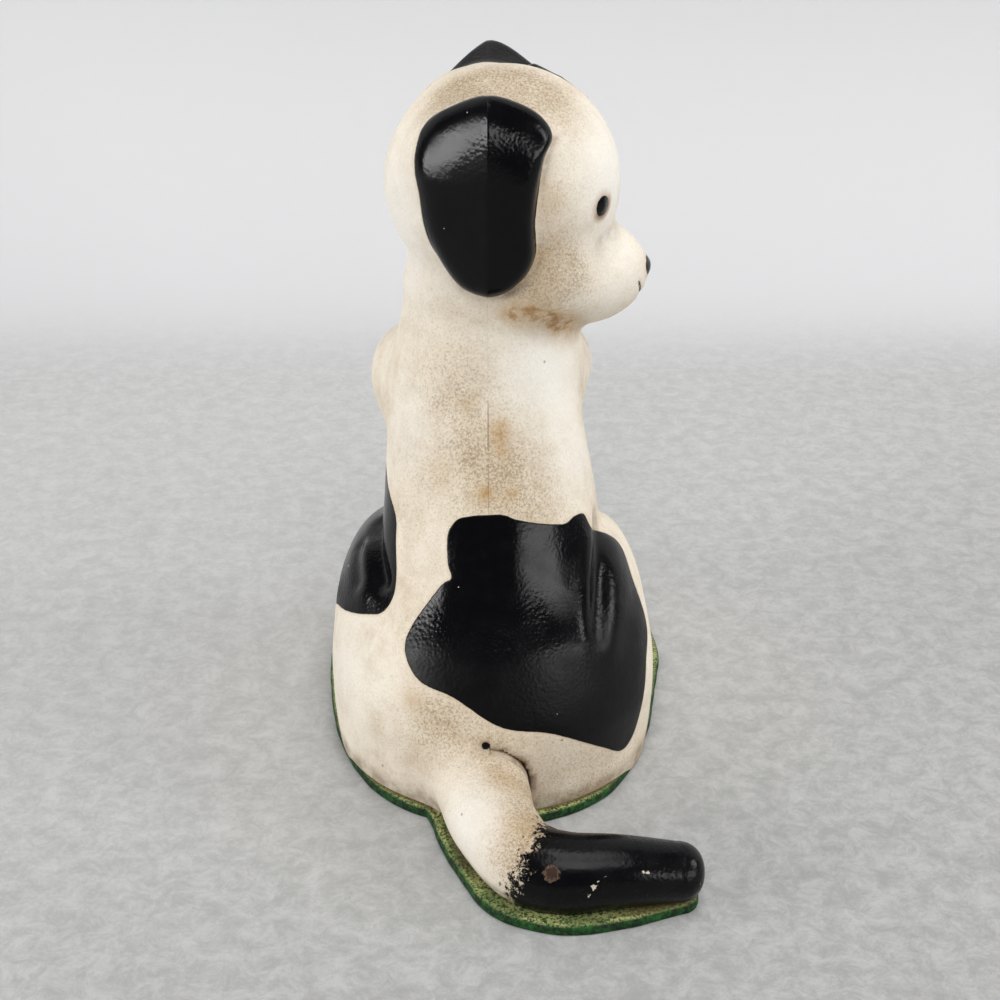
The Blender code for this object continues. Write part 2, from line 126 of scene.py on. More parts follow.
def ripple(places: Array) -> Array:
    """Return the slight unevenness of a hand-made pattern, about -1 to 1.

    The sum of six sines along slanting directions, with wavelengths from 10 to 34 mm.

    Args:
        places: Points, the last axis holding x, y and z.

    Returns:
        One value for each point.
    """
    waves = np.array(
        [
            (0.19, 0.05, 0.11, 0.4), (-0.08, 0.21, 0.09, 1.7), (0.10, -0.12, 0.24, 2.9),
            (0.33, 0.21, -0.17, 4.1), (-0.24, 0.30, 0.28, 5.3), (0.14, 0.38, 0.41, 0.9),
        ]
    )
    return np.sin(places @ waves[:, :3].T + waves[:, 3]) @ np.array([0.26, 0.24, 0.2, 0.12, 0.1, 0.08])


def cubic_spans(before: Array, start: Array, end: Array, after: Array, steps: int) -> Array:
    """Return points on the cubics that run from each station to the next.

    A cubic's slope at a station is half the way from the station before to the station after.

    Args:
        before: The stations before the starts, one row each.
        start: The stations where the spans start.
        end: The stations where the spans end.
        after: The stations after the ends.
        steps: Points for each span, the first on its start.

    Returns:
        The points of all the spans, one row each.
    """
    before, start, end, after = (rows[:, None, :] for rows in (before, start, end, after))
    share = (np.arange(steps) / steps)[None, :, None]
    bend = 2.0 * before - 5.0 * start + 4.0 * end - after
    twist = 3.0 * (start - end) + after - before
    spans = start + 0.5 * (share * (end - before) + share**2 * bend + share**3 * twist)
    return spans.reshape(-1, spans.shape[-1])


def closed_curve(points: Array, steps: int) -> Array:
    """Run a smooth closed curve through points, with steps new points for each, from the first on."""
    return cubic_spans(*(np.roll(points, shift, axis=0) for shift in (1, 0, -1, -2)), steps)


def outward(loop: Array) -> Array:
    """Return the outward unit normals of a flat closed loop that runs clockwise seen from above.

    Args:
        loop: The loop's corners, one row each.

    Returns:
        One normal for each corner, square to the way between its neighbours.
    """
    ahead = np.roll(loop, -1, axis=0) - np.roll(loop, 1, axis=0)
    normal = np.stack([-ahead[:, 1], ahead[:, 0]], axis=1)
    return normal / np.linalg.norm(normal, axis=1, keepdims=True)


def enclosed(points: Array, loop: Array) -> Array:
    """Tell which flat points lie inside a loop, by counting the edges that a ray towards +x crosses.

    Args:
        points: Flat points, one row each.
        loop: The loop's corners, one row each.

    Returns:
        One truth value for each point.
    """
    start, end = loop[None], np.roll(loop, -1, axis=0)[None]
    x, y = points[:, 0, None], points[:, 1, None]
    spans = (start[..., 1] > y) != (end[..., 1] > y)
    rise = end[..., 1] - start[..., 1]
    rise = np.where(np.abs(rise) < TINY, TINY, rise)
    crossing = start[..., 0] + (y - start[..., 1]) / rise * (end[..., 0] - start[..., 0])
    return (np.sum(spans & (x < crossing), axis=1) % 2) == 1


@dataclass(frozen=True)
class Mass:
    """One rounded mass: an ellipsoid whose lower half may be stretched, and the fillet that joins it."""

    centre: Point
    radii: Point
    fillet: float = 8.0
    stretch: float = 1.0
    least_slope: float = 1e-6

    def distance(self, places: Array) -> Array:
        """Return near distances: the scaled radius times that less one, over the scaled slope.

        Args:
            places: Points in the casting frame.

        Returns:
            One distance for each point.
        """
        offset = places - np.array(self.centre)
        offset[..., 2] = np.maximum(offset[..., 2], offset[..., 2] / self.stretch)
        radii = np.array(self.radii)
        reach = np.sqrt(np.sum((offset / radii) ** 2, axis=-1))
        slope = np.sqrt(np.sum((offset / radii**2) ** 2, axis=-1))
        return reach * (reach - 1.0) / np.maximum(slope, self.least_slope)

    def across(self, axis: int) -> Mass:
        """Return the same mass on the other side of the middle, along the axis."""
        centre = tuple(-value if index == axis else value for index, value in enumerate(self.centre))
        return Mass(centre, self.radii, self.fillet, self.stretch)


@dataclass(frozen=True)
class Limb:
    """A round limb that tapers from one ball to another, and the fillet that joins it to the rest."""

    start: Point
    start_radius: float
    end: Point
    end_radius: float
    fillet: float = 8.0

    def distance(self, places: Array) -> Array:
        """Return distances to the limb: to the nearest point of its middle line, less the radius there.

        Args:
            places: Points in the casting frame.

        Returns:
            One distance for each point.
        """
        start = np.array(self.start)
        way = np.array(self.end) - start
        share = np.clip((places - start) @ way / (way @ way), 0.0, 1.0)
        radius = self.start_radius + share * (self.end_radius - self.start_radius)
        return np.linalg.norm(places - start - share[..., None] * way, axis=-1) - radius

    def across(self) -> Limb:
        """Return the same limb on the other side of the parting plane."""
        start, end = ((-x, y, z) for x, y, z in (self.start, self.end))
        return Limb(start, self.start_radius, end, self.end_radius, self.fillet)


def away_from(centre: Point, places: Array) -> Array:
    """Return how far places lie from one point."""
    return np.linalg.norm(places - np.array(centre), axis=-1)


def joined(first: Mass | Limb, others: Sequence[Mass | Limb], places: Array) -> Array:
    """Join forms to a first one, one after another, each by its own fillet.

    Args:
        first: The form to begin with.
        others: The forms that are joined to it.
        places: Points in the casting frame.

    Returns:
        The distances to the joined form.
    """
    result = first.distance(places)
    for form in others:
        result = smooth_min(result, form.distance(places), form.fillet)
    return result


def nearest(forms: Sequence[Limb | EarFlap], places: Array) -> Array:
    """Take the nearest of several forms at each place.

    Args:
        forms: The forms.
        places: Points in the casting frame.

    Returns:
        The least of the forms' distances.
    """
    result = np.full(places.shape[:-1], FAR)
    for form in forms:
        result = np.minimum(result, form.distance(places))
    return result


@dataclass(frozen=True)
class Fold:
    """A soft fold of the skin: its line, how far it presses in, below zero to bulge, and its width."""

    line: tuple[Point, ...]
    depth: float
    width: float

    def pressed(self, places: Array) -> Array:
        """Return how far places are pressed in: the depth times a bell curve of the way to the line."""
        spans = [Limb(start, 0.0, end, 0.0) for start, end in zip(self.line[:-1], self.line[1:])]
        return self.depth * bell(nearest(spans, places), self.width)


@dataclass(frozen=True)
class ToeGrooves:
    """The grooves between the toes of a pair of feet, and where they fade behind and above."""

    middle: float
    apart: float
    behind: Flat
    above: Flat
    width: float = 0.8
    depth: float = 1.0

    def pressed(self, places: Array) -> Array:
        """Return how far places are pressed in: the depth times bell curves across the feet, faded out.

        Args:
            places: Points in the casting frame.

        Returns:
            One depth for each point.
        """
        out = np.abs(np.abs(places[..., 0]) - self.middle) - self.apart
        grooves = bell(out, self.width) * ramp(*self.behind, places[..., 1])
        return self.depth * (grooves * ramp(*self.above, places[..., 2]))


@dataclass(frozen=True)
class Mouth:
    """The mouth's line: an arc to each side of the middle, and the short upright line under the nose."""

    height: float = 121.6
    sag: float = 1.6
    arc_length: float = 7.5
    rise: float = 0.055
    width: float = 0.85
    ends: Flat = (9.0, 7.5)
    upright_width: float = 0.55
    upright_bottom: Flat = (120.8, 121.8)
    upright_top: Flat = (126.0, 124.8)
    behind: Flat = (30.0, 33.0)
    depth: float = 0.5

    def nearness(self, places: Array) -> Array:
        """Return how near each place is to the line, 1 on the line and 0 away from it.

        An arc sags by half a sine wave and rises by the square of the way out. Bell curves run across the
        lines, and the larger one counts.

        Args:
            places: Points in the casting frame.

        Returns:
            One value for each point.
        """
        x, y, z = places[..., 0], np.abs(places[..., 1]), places[..., 2]
        sag = self.sag * np.sin(np.clip(y / self.arc_length, 0.0, 1.0) * math.pi)
        arc = self.height - sag + self.rise * y**2
        smile = bell(z - arc, self.width) * ramp(*self.ends, y)
        upright = bell(y, self.upright_width) * ramp(*self.upright_bottom, z) * ramp(*self.upright_top, z)
        return np.maximum(smile, upright) * ramp(*self.behind, x)


HANGING_EAR = (
    (0.0, 176.8), (6.6, 175.2), (12.6, 171.6), (15.4, 167.0), (13.6, 162.0), (12.0, 155.0),
    (11.2, 147.0), (11.2, 137.6), (7.8, 131.2), (1.5, 127.8), (-7.2, 129.8), (-14.2, 140.6),
    (-16.8, 152.6), (-17.4, 162.0), (-13.7, 169.6), (-7.4, 174.0),
)
PEAKED_EAR = (
    (1.0, 177.6), (12.9, 170.9), (15.6, 166.5), (13.4, 161.0), (11.8, 154.0), (11.0, 146.0),
    (10.2, 139.4), (6.6, 133.3), (1.2, 130.5), (-6.8, 132.8), (-13.7, 142.7), (-16.3, 153.0),
    (-16.0, 162.0), (-11.6, 168.8),
)


@dataclass(frozen=True)
class EarFlap:
    """One ear: a thick flap against the side of the head, ridged where the halves meet."""

    side: float
    top: float
    middle: float = 154.05
    root_reach: float = 13.0
    root_share: float = 0.8
    rim_reach: float = 31.2
    half_width: float = 16.6
    length: float = 47.1
    crown: float = 2.6
    crown_power: int = 10
    rounding: float = 3.0
    tuck_length: float = 20.0
    top_tuck: float = 4.2
    tip_lean: float = 3.0
    fall_back: float = 8.5
    fall_front: float = 1.5
    top_fall: float = 5.0
    root_rounding: float = 1.0
    steps: int = 24
    outline: tuple[Flat, ...] = HANGING_EAR

    def radius(self, turns: Array) -> tuple[Array, Array]:
        """Measure the outline from its middle.

        Args:
            turns: Directions from the middle, as angles.

        Returns:
            How far the outline lies in each direction, and the cosine of how far its edge leans there.
        """
        loop = closed_curve(np.array(self.outline), self.steps)
        loop[:, 1] += (self.top - loop[:, 1].max()) * ramp(self.middle, self.top, loop[:, 1])
        offset = loop - np.array([0.0, self.middle])
        angle = np.arctan2(offset[:, 1], offset[:, 0])
        order = np.argsort(angle)
        angle, reach = angle[order], np.hypot(offset[:, 0], offset[:, 1])[order]
        slope = np.gradient(reach, angle) / reach
        lean = 1.0 / np.sqrt(1.0 + slope**2)
        return np.interp(turns, angle, reach, period=math.tau), np.interp(turns, angle, lean, period=math.tau)

    def face(self, x: Array, z: Array) -> Array:
        """Return how far the rim stands from the head's middle: less at the front, the back and the top.

        Args:
            x: How far each place is in front of the ear's middle.
            z: Its height.

        Returns:
            One reach for each place.
        """
        below = self.top - z
        tuck = np.maximum(1.0 - below / self.tuck_length, 0.0)
        fall = np.where(x > 0.0, self.fall_front, self.fall_back) + self.top_fall * tuck
        lean = self.tip_lean * np.maximum(below, 0.0) / self.length
        return self.rim_reach - fall * np.abs(x) / self.half_width - self.top_tuck * tuck**2 - lean

    def distance(self, places: Array) -> Array:
        """Return near distances to the flap: the rounded meeting of its edge wall and its crowned face.

        The edge wall follows the outline, drawn in towards the buried root. The face is the rim's reach plus
        a crown that falls off with a power of the share of the way out to the edge.

        Args:
            places: Points in the casting frame.

        Returns:
            One distance for each point.
        """
        x, z = places[..., 0], places[..., 2]
        y = places[..., 1] * self.side
        face = self.face(x, z)
        out = np.clip((y - self.root_reach) / (face - self.root_reach), 0.0, 1.0)
        share = self.root_share + (1.0 - self.root_share) * out
        spread = np.hypot(x, z - self.middle)
        reach, lean = self.radius(np.arctan2(z - self.middle, x))
        edge = (spread - reach * share) * lean
        rise = self.crown * (1.0 - np.clip(spread / reach, 0.0, 1.0) ** self.crown_power)
        flap = smooth_max(edge, y - face - rise, self.rounding)
        return smooth_max(flap, self.root_reach - y, self.root_rounding)


@dataclass(frozen=True)
class TailPath:
    """The tail's middle line and thickness, station by station from its root to its tip."""

    centres: tuple[Point, ...] = (
        (-3.0, -45.0, 11.9), (-1.1, -64.6, 10.8), (2.1, -77.8, 10.5), (8.6, -88.6, 9.5),
        (17.5, -92.6, 9.4), (30.4, -92.7, 9.9), (44.0, -91.6, 8.8),
    )
    radii: tuple[float, ...] = (11.6, 11.5, 10.3, 9.9, 9.7, 8.6, 7.1)
    plate_margins: tuple[float, ...] = (1.6, 1.3, 0.8, 2.0, 1.85, 0.9, -1.4)
    plate_end: tuple[float, ...] = (60.0, 30.0, 0.0, -30.0, -60.0)
    limbs: int = 3

    def distance(self, places: Array) -> Array:
        """Return distances to the tail as a chain of short tapering limbs along its middle line.

        Args:
            places: Points in the casting frame.

        Returns:
            One distance for each point.
        """
        centres, radii = self.course(self.limbs)
        ends = zip(centres[:-1], radii[:-1], centres[1:], radii[1:])
        spans = [Limb(tuple(start), thick, tuple(end), thin) for start, thick, end, thin in ends]
        return nearest(spans, places)

    def course(self, steps: int) -> tuple[Array, Array]:
        """Return points and radii along the smooth middle line.

        Args:
            steps: Points for each span between two stations.

        Returns:
            The points, one row each, and the radius at each.
        """
        stations = np.column_stack([np.array(self.centres), np.array(self.radii)])
        before, after = 2.0 * stations[:1] - stations[1:2], 2.0 * stations[-1:] - stations[-2:-1]
        line = np.vstack([before, stations, after])
        spans = cubic_spans(*(line[index : len(line) - 3 + index] for index in range(4)), steps)
        course = np.vstack([spans, stations[-1:]])
        return course[:, :3], course[:, 3]

    def footprint(self, steps: int) -> Array:
        """Return the outline of the tail's share of the ground plate, clockwise seen from above.

        Args:
            steps: Points for each span between two corners.

        Returns:
            The outline's points, one row each.
        """
        centres = np.array(self.centres)[:, :2]
        reaches = (np.array(self.radii) + np.array(self.plate_margins))[:, None]
        ahead = np.gradient(centres, axis=0)
        ahead[0], ahead[-1] = centres[1] - centres[0], centres[-1] - centres[-2]
        ahead /= np.linalg.norm(ahead, axis=1, keepdims=True)
        across = np.stack([-ahead[:, 1], ahead[:, 0]], axis=1)
        angles = np.radians(self.plate_end)[:, None]
        cap = centres[-1] + reaches[-1] * (ahead[-1] * np.cos(angles) + across[-1] * np.sin(angles))
        corners = np.vstack([centres + across * reaches, cap, (centres - across * reaches)[::-1]])
        return closed_curve(corners, steps)


@dataclass(frozen=True)
class Eye:
    """One eye: the middle of its painted disc, its size, and how far it bulges."""

    centre: Point
    radius: float = 2.55
    ball: float = 3.1
    sunk: float = 2.4
    fillet: float = 0.8


FOLDS = (
    Fold(
        (
            (28.8, -20.0, 65.0), (28.3, -28.6, 58.0), (28.0, -33.5, 53.6),
            (27.4, -40.6, 47.4), (27.2, -43.6, 44.4),
        ),
        2.0,
        3.5,
    ),
    Fold(
        (
            (30.7, -16.3, 54.6), (31.2, -22.1, 52.1), (31.2, -27.1, 49.2),
            (30.2, -32.4, 46.4), (28.1, -40.9, 41.5),
        ),
        -1.5,
        5.6,
    ),
    Fold(((23.4, -29.3, 62.6), (23.2, -34.5, 55.3), (23.5, -39.3, 49.2), (24.3, -43.9, 43.3)), -1.2, 4.4),
    Fold(((-28.7, -10.0, 59.9), (-27.3, -29.9, 52.9)), 1.8, 2.6),
    Fold(((-30.4, -17.6, 54.0), (-30.2, -27.5, 48.1)), -1.0, 3.4),
    Fold(((-34.0, -13.2, 54.1), (-33.7, -24.1, 49.7)), 1.0, 2.4),
    Fold(
        (
            (-20.9, -18.8, 111.5), (-20.2, -22.4, 104.5), (-23.2, -21.6, 98.4), (-28.0, -14.2, 92.0),
        ),
        1.3,
        3.6,
    ),
)


@dataclass(frozen=True)
class Puppy:
    """The figure as one distance field, with its modelled details."""

    rump: Mass = Mass((1.4, -18.9, 20.0), (42.5, 42.8, 34.3), 12.0, 2.2)
    haunch_left: Mass = Mass((-24.0, -8.0, 25.8), (18.0, 33.0, 34.7), 4.0, 2.2)
    haunch_right: Mass = Mass((27.6, -8.0, 24.6), (15.2, 33.0, 33.4), 4.0, 2.2)
    back: Limb = Limb((2.0, -22.0, 36.0), 31.5, (-1.2, -3.5, 97.0), 24.0, 12.0)
    chest: Mass = Mass((-1.1, 9.0, 84.0), (21.4, 28.5, 30.0), 8.0)
    brisket: Mass = Mass((0.0, 17.0, 42.0), (16.5, 23.0, 44.0), 8.0)
    shoulder_left: Mass = Mass((-20.7, 14.0, 92.0), (10.4, 18.0, 12.9), 7.0)
    shoulder_right: Mass = Mass((16.4, 14.0, 95.4), (11.0, 18.0, 11.5), 7.0)
    foreleg: Limb = Limb((14.3, 25.0, 82.0), 12.0, (14.0, 38.0, 13.0), 9.0, 5.0)
    fore_paw: Mass = Mass((14.5, 46.0, 9.0), (10.0, 14.0, 9.0), 5.0)
    hind_foot_left: Mass = Mass((-32.4, 21.0, 9.0), (11.3, 25.0, 10.0), 4.0)
    hind_foot_right: Mass = Mass((34.9, 21.0, 9.0), (11.3, 25.0, 10.0), 4.0)
    neck: Limb = Limb((0.0, -1.0, 101.0), 20.8, (1.5, 0.0, 121.0), 23.0, 8.0)
    skull: Mass = Mass((3.7, 0.0, 148.9), (29.0, 28.2, 28.0), 4.0)
    temple: Mass = Mass((-0.6, 14.5, 157.1), (19.1, 12.4, 16.7), 3.0)
    cheek: Mass = Mass((9.5, 14.5, 130.5), (16.3, 11.0, 14.8), 4.0)
    jowl: Mass = Mass((15.7, 0.0, 126.0), (19.0, 20.0, 12.0), 4.0)
    muzzle: Mass = Mass((25.1, 0.0, 125.7), (15.1, 14.5, 12.2), 6.0)
    nose: Mass = Mass((38.2, 0.0, 127.0), (2.9, 4.6, 2.7), 1.2)
    near_ear: EarFlap = EarFlap(-1.0, 176.4)
    far_ear: EarFlap = EarFlap(1.0, 177.5, rounding=1.4, outline=PEAKED_EAR)
    eyes: tuple[Eye, ...] = (Eye((27.3, -15.9, 147.2)), Eye((27.3, 15.9, 147.2)))
    folds: tuple[Fold, ...] = FOLDS
    fore_toes: ToeGrooves = ToeGrooves(14.5, 3.3, (47.0, 52.0), (19.0, 14.0))
    hind_toes: ToeGrooves = ToeGrooves(33.6, 3.6, (32.0, 38.0), (18.0, 14.0))
    mouth: Mouth = Mouth()
    ear_fillet: float = 1.4
    ear_fold: tuple[Limb, ...] = (
        Limb((9.5, 19.5, 170.0), 2.4, (11.6, 16.5, 171.6), 2.0),
        Limb((11.6, 16.5, 171.6), 2.0, (17.5, 10.0, 171.0), 1.1),
        Limb((17.5, 10.0, 171.0), 1.1, (24.0, 8.0, 166.6), 0.7),
    )
    tail: TailPath = TailPath()
    tail_fillet: float = 8.0
    tail_crease: float = 0.3
    tail_room: float = 0.3
    tail_join: Flat = (0.0, -9.0)
    pit: Point = (-0.9, -62.1, 23.8)
    pit_radius: float = 1.2
    # The black painted shade in the pit at the tail's root reaches this far from the pit's middle.
    pit_shade_radius: float = 1.35
    seam_groove: float = 0.015
    seam_groove_width: float = 0.35
    seam_rise: float = 0.07
    seam_rise_width: float = 2.0

    def body(self, places: Array) -> Array:
        """Return distances to the body without its tail.

        Args:
            places: Points in the casting frame.

        Returns:
            One distance for each point.
        """
        forms = [self.rump, self.chest, self.brisket]
        forms += [self.haunch_left, self.haunch_right, self.shoulder_left, self.shoulder_right]
        forms += [self.foreleg, self.foreleg.across(), self.fore_paw, self.fore_paw.across(0)]
        forms += [self.hind_foot_left, self.hind_foot_right]
        return joined(self.back, forms, places)

    def trunk(self, places: Array) -> Array:
        """Return distances to what of the body lies near the neck."""
        return joined(self.back, (self.chest, self.shoulder_left, self.shoulder_right), places)

    def bare_head(self, places: Array) -> Array:
        """Return distances to the head without its ears."""
        sides = (self.temple, self.temple.across(1), self.cheek, self.cheek.across(1))
        return joined(self.skull, (*sides, self.jowl, self.muzzle, self.nose), places)

    def ears(self, places: Array) -> Array:
        """Return distances to the nearer ear."""
        return nearest((self.near_ear, self.far_ear, *self.ear_fold), places)

    def upper(self, places: Array) -> Array:
        """Return distances to the neck, the head and the ears above the trunk.

        Args:
            places: Points in the casting frame.

        Returns:
            One distance for each point.
        """
        result = smooth_min(self.trunk(places), self.neck.distance(places), self.neck.fillet)
        result = smooth_min(result, self.bare_head(places), self.skull.fillet)
        result = smooth_min(result, self.ears(places), self.ear_fillet)
        for eye in self.eyes:
            result = smooth_min(result, self.eyeball(eye).distance(places), eye.fillet)
        return result

    def eyeball(self, eye: Eye) -> Mass:
        """Return the ball of an eye, sunk in from its painted disc towards the middle of the head.

        Args:
            eye: The eye.

        Returns:
            The ball.
        """
        inward = np.array(self.skull.centre) - np.array(eye.centre)
        inward /= np.linalg.norm(inward)
        return Mass(tuple(np.array(eye.centre) + inward * eye.sunk), (eye.ball,) * 3)

    def toes(self, places: Array) -> Array:
        """Return the depth of the grooves between the toes of all four feet."""
        return np.maximum(self.fore_toes.pressed(places), self.hind_toes.pressed(places))

    def body_skin(self, places: Array) -> Array:
        """Return the field of the body's skin, with the seam, the toes and the cast unevenness."""
        field = smooth_min(self.body(places), self.neck.distance(places), self.neck.fillet)
        return self.folded(field, places) + self.toes(places) + self.cast_detail(places)

    def folded(self, field: Array, places: Array) -> Array:
        """Press the folds beside the haunches and at the left shoulder into a field."""
        return field + sum(fold.pressed(places) for fold in self.folds)

    def head_skin(self, places: Array) -> Array:
        """Return the field of the head's and neck's skin, with the seam, the mouth and the unevenness."""
        mouth = self.mouth.depth * self.mouth.nearness(places)
        return self.folded(self.upper(places), places) + mouth + self.cast_detail(places)

    def cast_detail(self, places: Array) -> Array:
        """Return the seam's groove between its two filed edges, and the pattern's slight unevenness.

        Args:
            places: Points in the casting frame.

        Returns:
            How far each point is pressed in.
        """
        groove = self.seam_groove * bell(places[..., 0], self.seam_groove_width)
        seam = groove - self.seam_rise * bell(places[..., 0], self.seam_rise_width)
        return seam + UNEVENNESS * ripple(places)

    def with_tail(self, figure: Array, places: Array) -> Array:
        """Join the tail to the figure: with a fillet on the left that narrows to a crease at the seam.

        Args:
            figure: Distances to the figure.
            places: Points in the casting frame.

        Returns:
            The distances to both.
        """
        left = ramp(*self.tail_join, places[..., 0])
        width = self.tail_crease + (self.tail_fillet - self.tail_crease) * left
        return smooth_min(figure, self.tail.distance(places), width)

    def near_all(self, places: Array) -> Array:
        """Return distances to the whole figure and its plate, for finding sheltered places.

        Args:
            places: Points in the casting frame.

        Returns:
            One distance for each point.
        """
        figure = np.minimum(self.body(places), self.upper(places))
        return np.minimum(self.with_tail(figure, places), places[..., 2] - PLATE_TOP)


def meet(surface: Field, origins: Array, ways: Array, reach: float, pace: float = 1.5) -> Array:
    """Find how far along each ray the outermost surface lies.

    Walks in from the reach by the pace until the field turns negative, then halves the last pace again and
    again.

    Args:
        surface: The distance field.
        origins: Where each ray starts.
        ways: Each ray's unit direction.
        reach: A distance that is outside the surface on every ray.
        pace: Length of a step.

    Returns:
        The distance along each ray.
    """
    starts, directions = origins.reshape(-1, 3), ways.reshape(-1, 3)
    outer = np.full(len(starts), pace)
    waiting = np.arange(len(starts))
    for distance in np.arange(reach, 0.0, -pace):
        inside = surface(starts[waiting] + directions[waiting] * distance) < 0.0
        outer[waiting[inside]] = distance + pace
        waiting = waiting[~inside]
    return halved(surface, starts, directions, outer - pace, outer).reshape(ways.shape[:-1])


def halved(surface: Field, starts: Array, directions: Array, inner: Array, outer: Array) -> Array:
    """Narrow the stretch of each ray that holds the surface by halving it again and again.

    Args:
        surface: The distance field.
        starts: Where each ray starts.
        directions: Each ray's unit direction.
        inner: The stretch's near end on each ray, inside the surface.
        outer: Its far end, outside.

    Returns:
        The middle of the last stretch on each ray.
    """
    for _ in range(HALVINGS):
        middle = (inner + outer) / 2.0
        inside = surface(starts + directions * middle[:, None]) < 0.0
        inner, outer = np.where(inside, middle, inner), np.where(inside, outer, middle)
    return (inner + outer) / 2.0


def follow(
    surface: Field, starts: Array, directions: Array, found: Array, pace: float, limit: float
) -> Array:
    """Follow a changed surface from a place already found on each ray.

    Steps outwards for a positive pace while the field is negative, or inwards for a negative one while it is
    positive, to the limit at most, then halves the last step.

    Args:
        surface: The changed distance field.
        starts: Where each ray starts.
        directions: Each ray's unit direction.
        found: The distances to begin from.
        pace: Length of a step, negative to step inwards.
        limit: The furthest way from the distances to begin from.

    Returns:
        The new distance along each ray.
    """
    sign = math.copysign(1.0, pace)
    place = found - pace
    walking = np.arange(len(starts))
    for _ in range(int(limit / abs(pace))):
        ahead = place[walking] + pace
        through = surface(starts[walking] + directions[walking] * ahead[:, None]) * sign > 0.0
        walking = walking[~through]
        place[walking] += pace
    low, high = np.minimum(place, place + pace), np.maximum(place, place + pace)
    return halved(surface, starts, directions, low, high)


@dataclass(frozen=True)
class RayFan:
    """Rays that reach the whole skin of one half from inside.

    They leave a middle line level up the body, lean down more and more while the line climbs through the
    neck, and then turn about the head's middle from below the jaw to the crown.
    """

    side: Side
    body_rows: int = 140
    neck_rows: int = 30
    head_rows: int = 152
    columns: int = 196
    bottom: float = 0.6
    shoulders: float = 104.0
    nape: float = 112.0
    head_middle: float = 147.0
    neck_back: float = 27.0
    neck_front: float = 32.0
    neck_turns: Flat = (0.5, 1.5)
    axis_heights: Flat = (30.0, 100.0)
    seam_turns: tuple[float, ...] = (0.0, 0.0035, 0.0075, 0.012, 0.018, 0.026, 0.036)
    even_from: float = 0.05

    def turns(self) -> Array:
        """Spread the columns round the upright line, crowded at the seams.

        Returns:
            The angles from the back seam to the front one.
        """
        edge = np.array(self.seam_turns)
        middle = np.linspace(self.even_from, math.pi - self.even_from, self.columns - 2 * len(edge))
        return np.concatenate([edge, middle, math.pi - edge[::-1]])

    def rays(self) -> tuple[Array, Array]:
        """Place the rays, by rows up the figure and columns round it.

        Returns:
            Where the rays start and their unit directions.
        """
        turns = self.turns()
        half_neck = self.neck_back + (self.neck_front - self.neck_back) * ramp(*self.neck_turns, turns)
        level = np.linspace(self.bottom, self.shoulders, self.body_rows, endpoint=False)
        climb = np.linspace(0.0, 1.0, self.neck_rows, endpoint=False)[:, None]
        line = self.shoulders + climb * (self.head_middle - self.shoulders)
        target = self.shoulders + climb * (self.nape - self.shoulders)
        lean = -np.arctan((line - target) / half_neck)
        lowest = -np.arctan((self.head_middle - self.nape) / half_neck)
        rise = np.linspace(0.0, 1.0, self.head_rows)[:, None]
        head = lowest + rise * (math.pi / 2 - lowest)
        tilt = np.vstack([np.zeros((self.body_rows, len(turns))), lean, head])
        height = np.concatenate([level, line[:, 0], np.full(self.head_rows, self.head_middle)])
        depth = FIGURE_AXIS_Y - FIGURE_AXIS_Y * ramp(*self.axis_heights, height)
        axis = np.stack([np.zeros_like(height), depth, height], axis=1)
        origins = np.repeat(axis[:, None], len(turns), axis=1)
        across = self.side.value * np.sin(turns)
        ways = np.stack([np.cos(tilt) * across, -np.cos(tilt) * np.cos(turns), np.sin(tilt)], axis=2)
        return origins, ways


@dataclass(frozen=True)
class Patch:
    """A black patch: its outline as turns round the body from the spine, in degrees, and heights."""

    outline: tuple[Flat, ...]
    steps: int = 6
    near_turn: float = 0.5
    batch: int = 4000

    def depth(self, places: Array) -> Array:
        """Return how far inside the patch's edge each place is, in millimetres, negative outside.

        The patch is unrolled round an upright line, turns counting as the place's own radius times the angle.

        Args:
            places: Points of the skin, one row each.

        Returns:
            One depth for each point, no less than the paint's reach below zero.
        """
        loop = closed_curve(np.array(self.outline) * np.array([math.pi / 180.0, 1.0]), self.steps)
        low, high = loop.min(axis=0), loop.max(axis=0)
        offset = places[:, 1] - FIGURE_AXIS_Y
        radius = np.hypot(places[:, 0], offset)
        turn = np.arctan2(places[:, 0], -offset)
        turn = np.where(turn < low[0] - 2.0 * self.near_turn, turn + math.tau, turn)
        turn = np.where(turn > high[0] + 2.0 * self.near_turn, turn - math.tau, turn)
        near = (turn > low[0] - self.near_turn) & (turn < high[0] + self.near_turn)
        near &= (places[:, 2] > low[1] - PAINT_REACH) & (places[:, 2] < high[1] + PAINT_REACH)
        depth = np.full(len(places), -PAINT_REACH)
        chosen = np.flatnonzero(near)
        for part in np.array_split(chosen, max(1, len(chosen) // self.batch)):
            across = (loop[:, 0] - turn[part, None]) * radius[part, None]
            start = np.stack([across, loop[:, 1] - places[part, 2, None]], axis=2)
            span = np.roll(start, -1, axis=1) - start
            along = -np.sum(start * span, axis=2) / np.maximum(np.sum(span**2, axis=2), TINY)
            foot = start + np.clip(along, 0.0, 1.0)[..., None] * span
            gap = np.linalg.norm(foot, axis=2).min(axis=1)
            sign = np.where(enclosed(np.stack([turn[part], places[part, 2]], axis=1), loop), 1.0, -1.0)
            depth[part] = np.maximum(gap * sign, -PAINT_REACH)
        return depth


@dataclass(frozen=True)
class Spot:
    """A stain: its middle, how far it spreads and how strong it is."""

    centre: Point
    spread: float
    strength: float


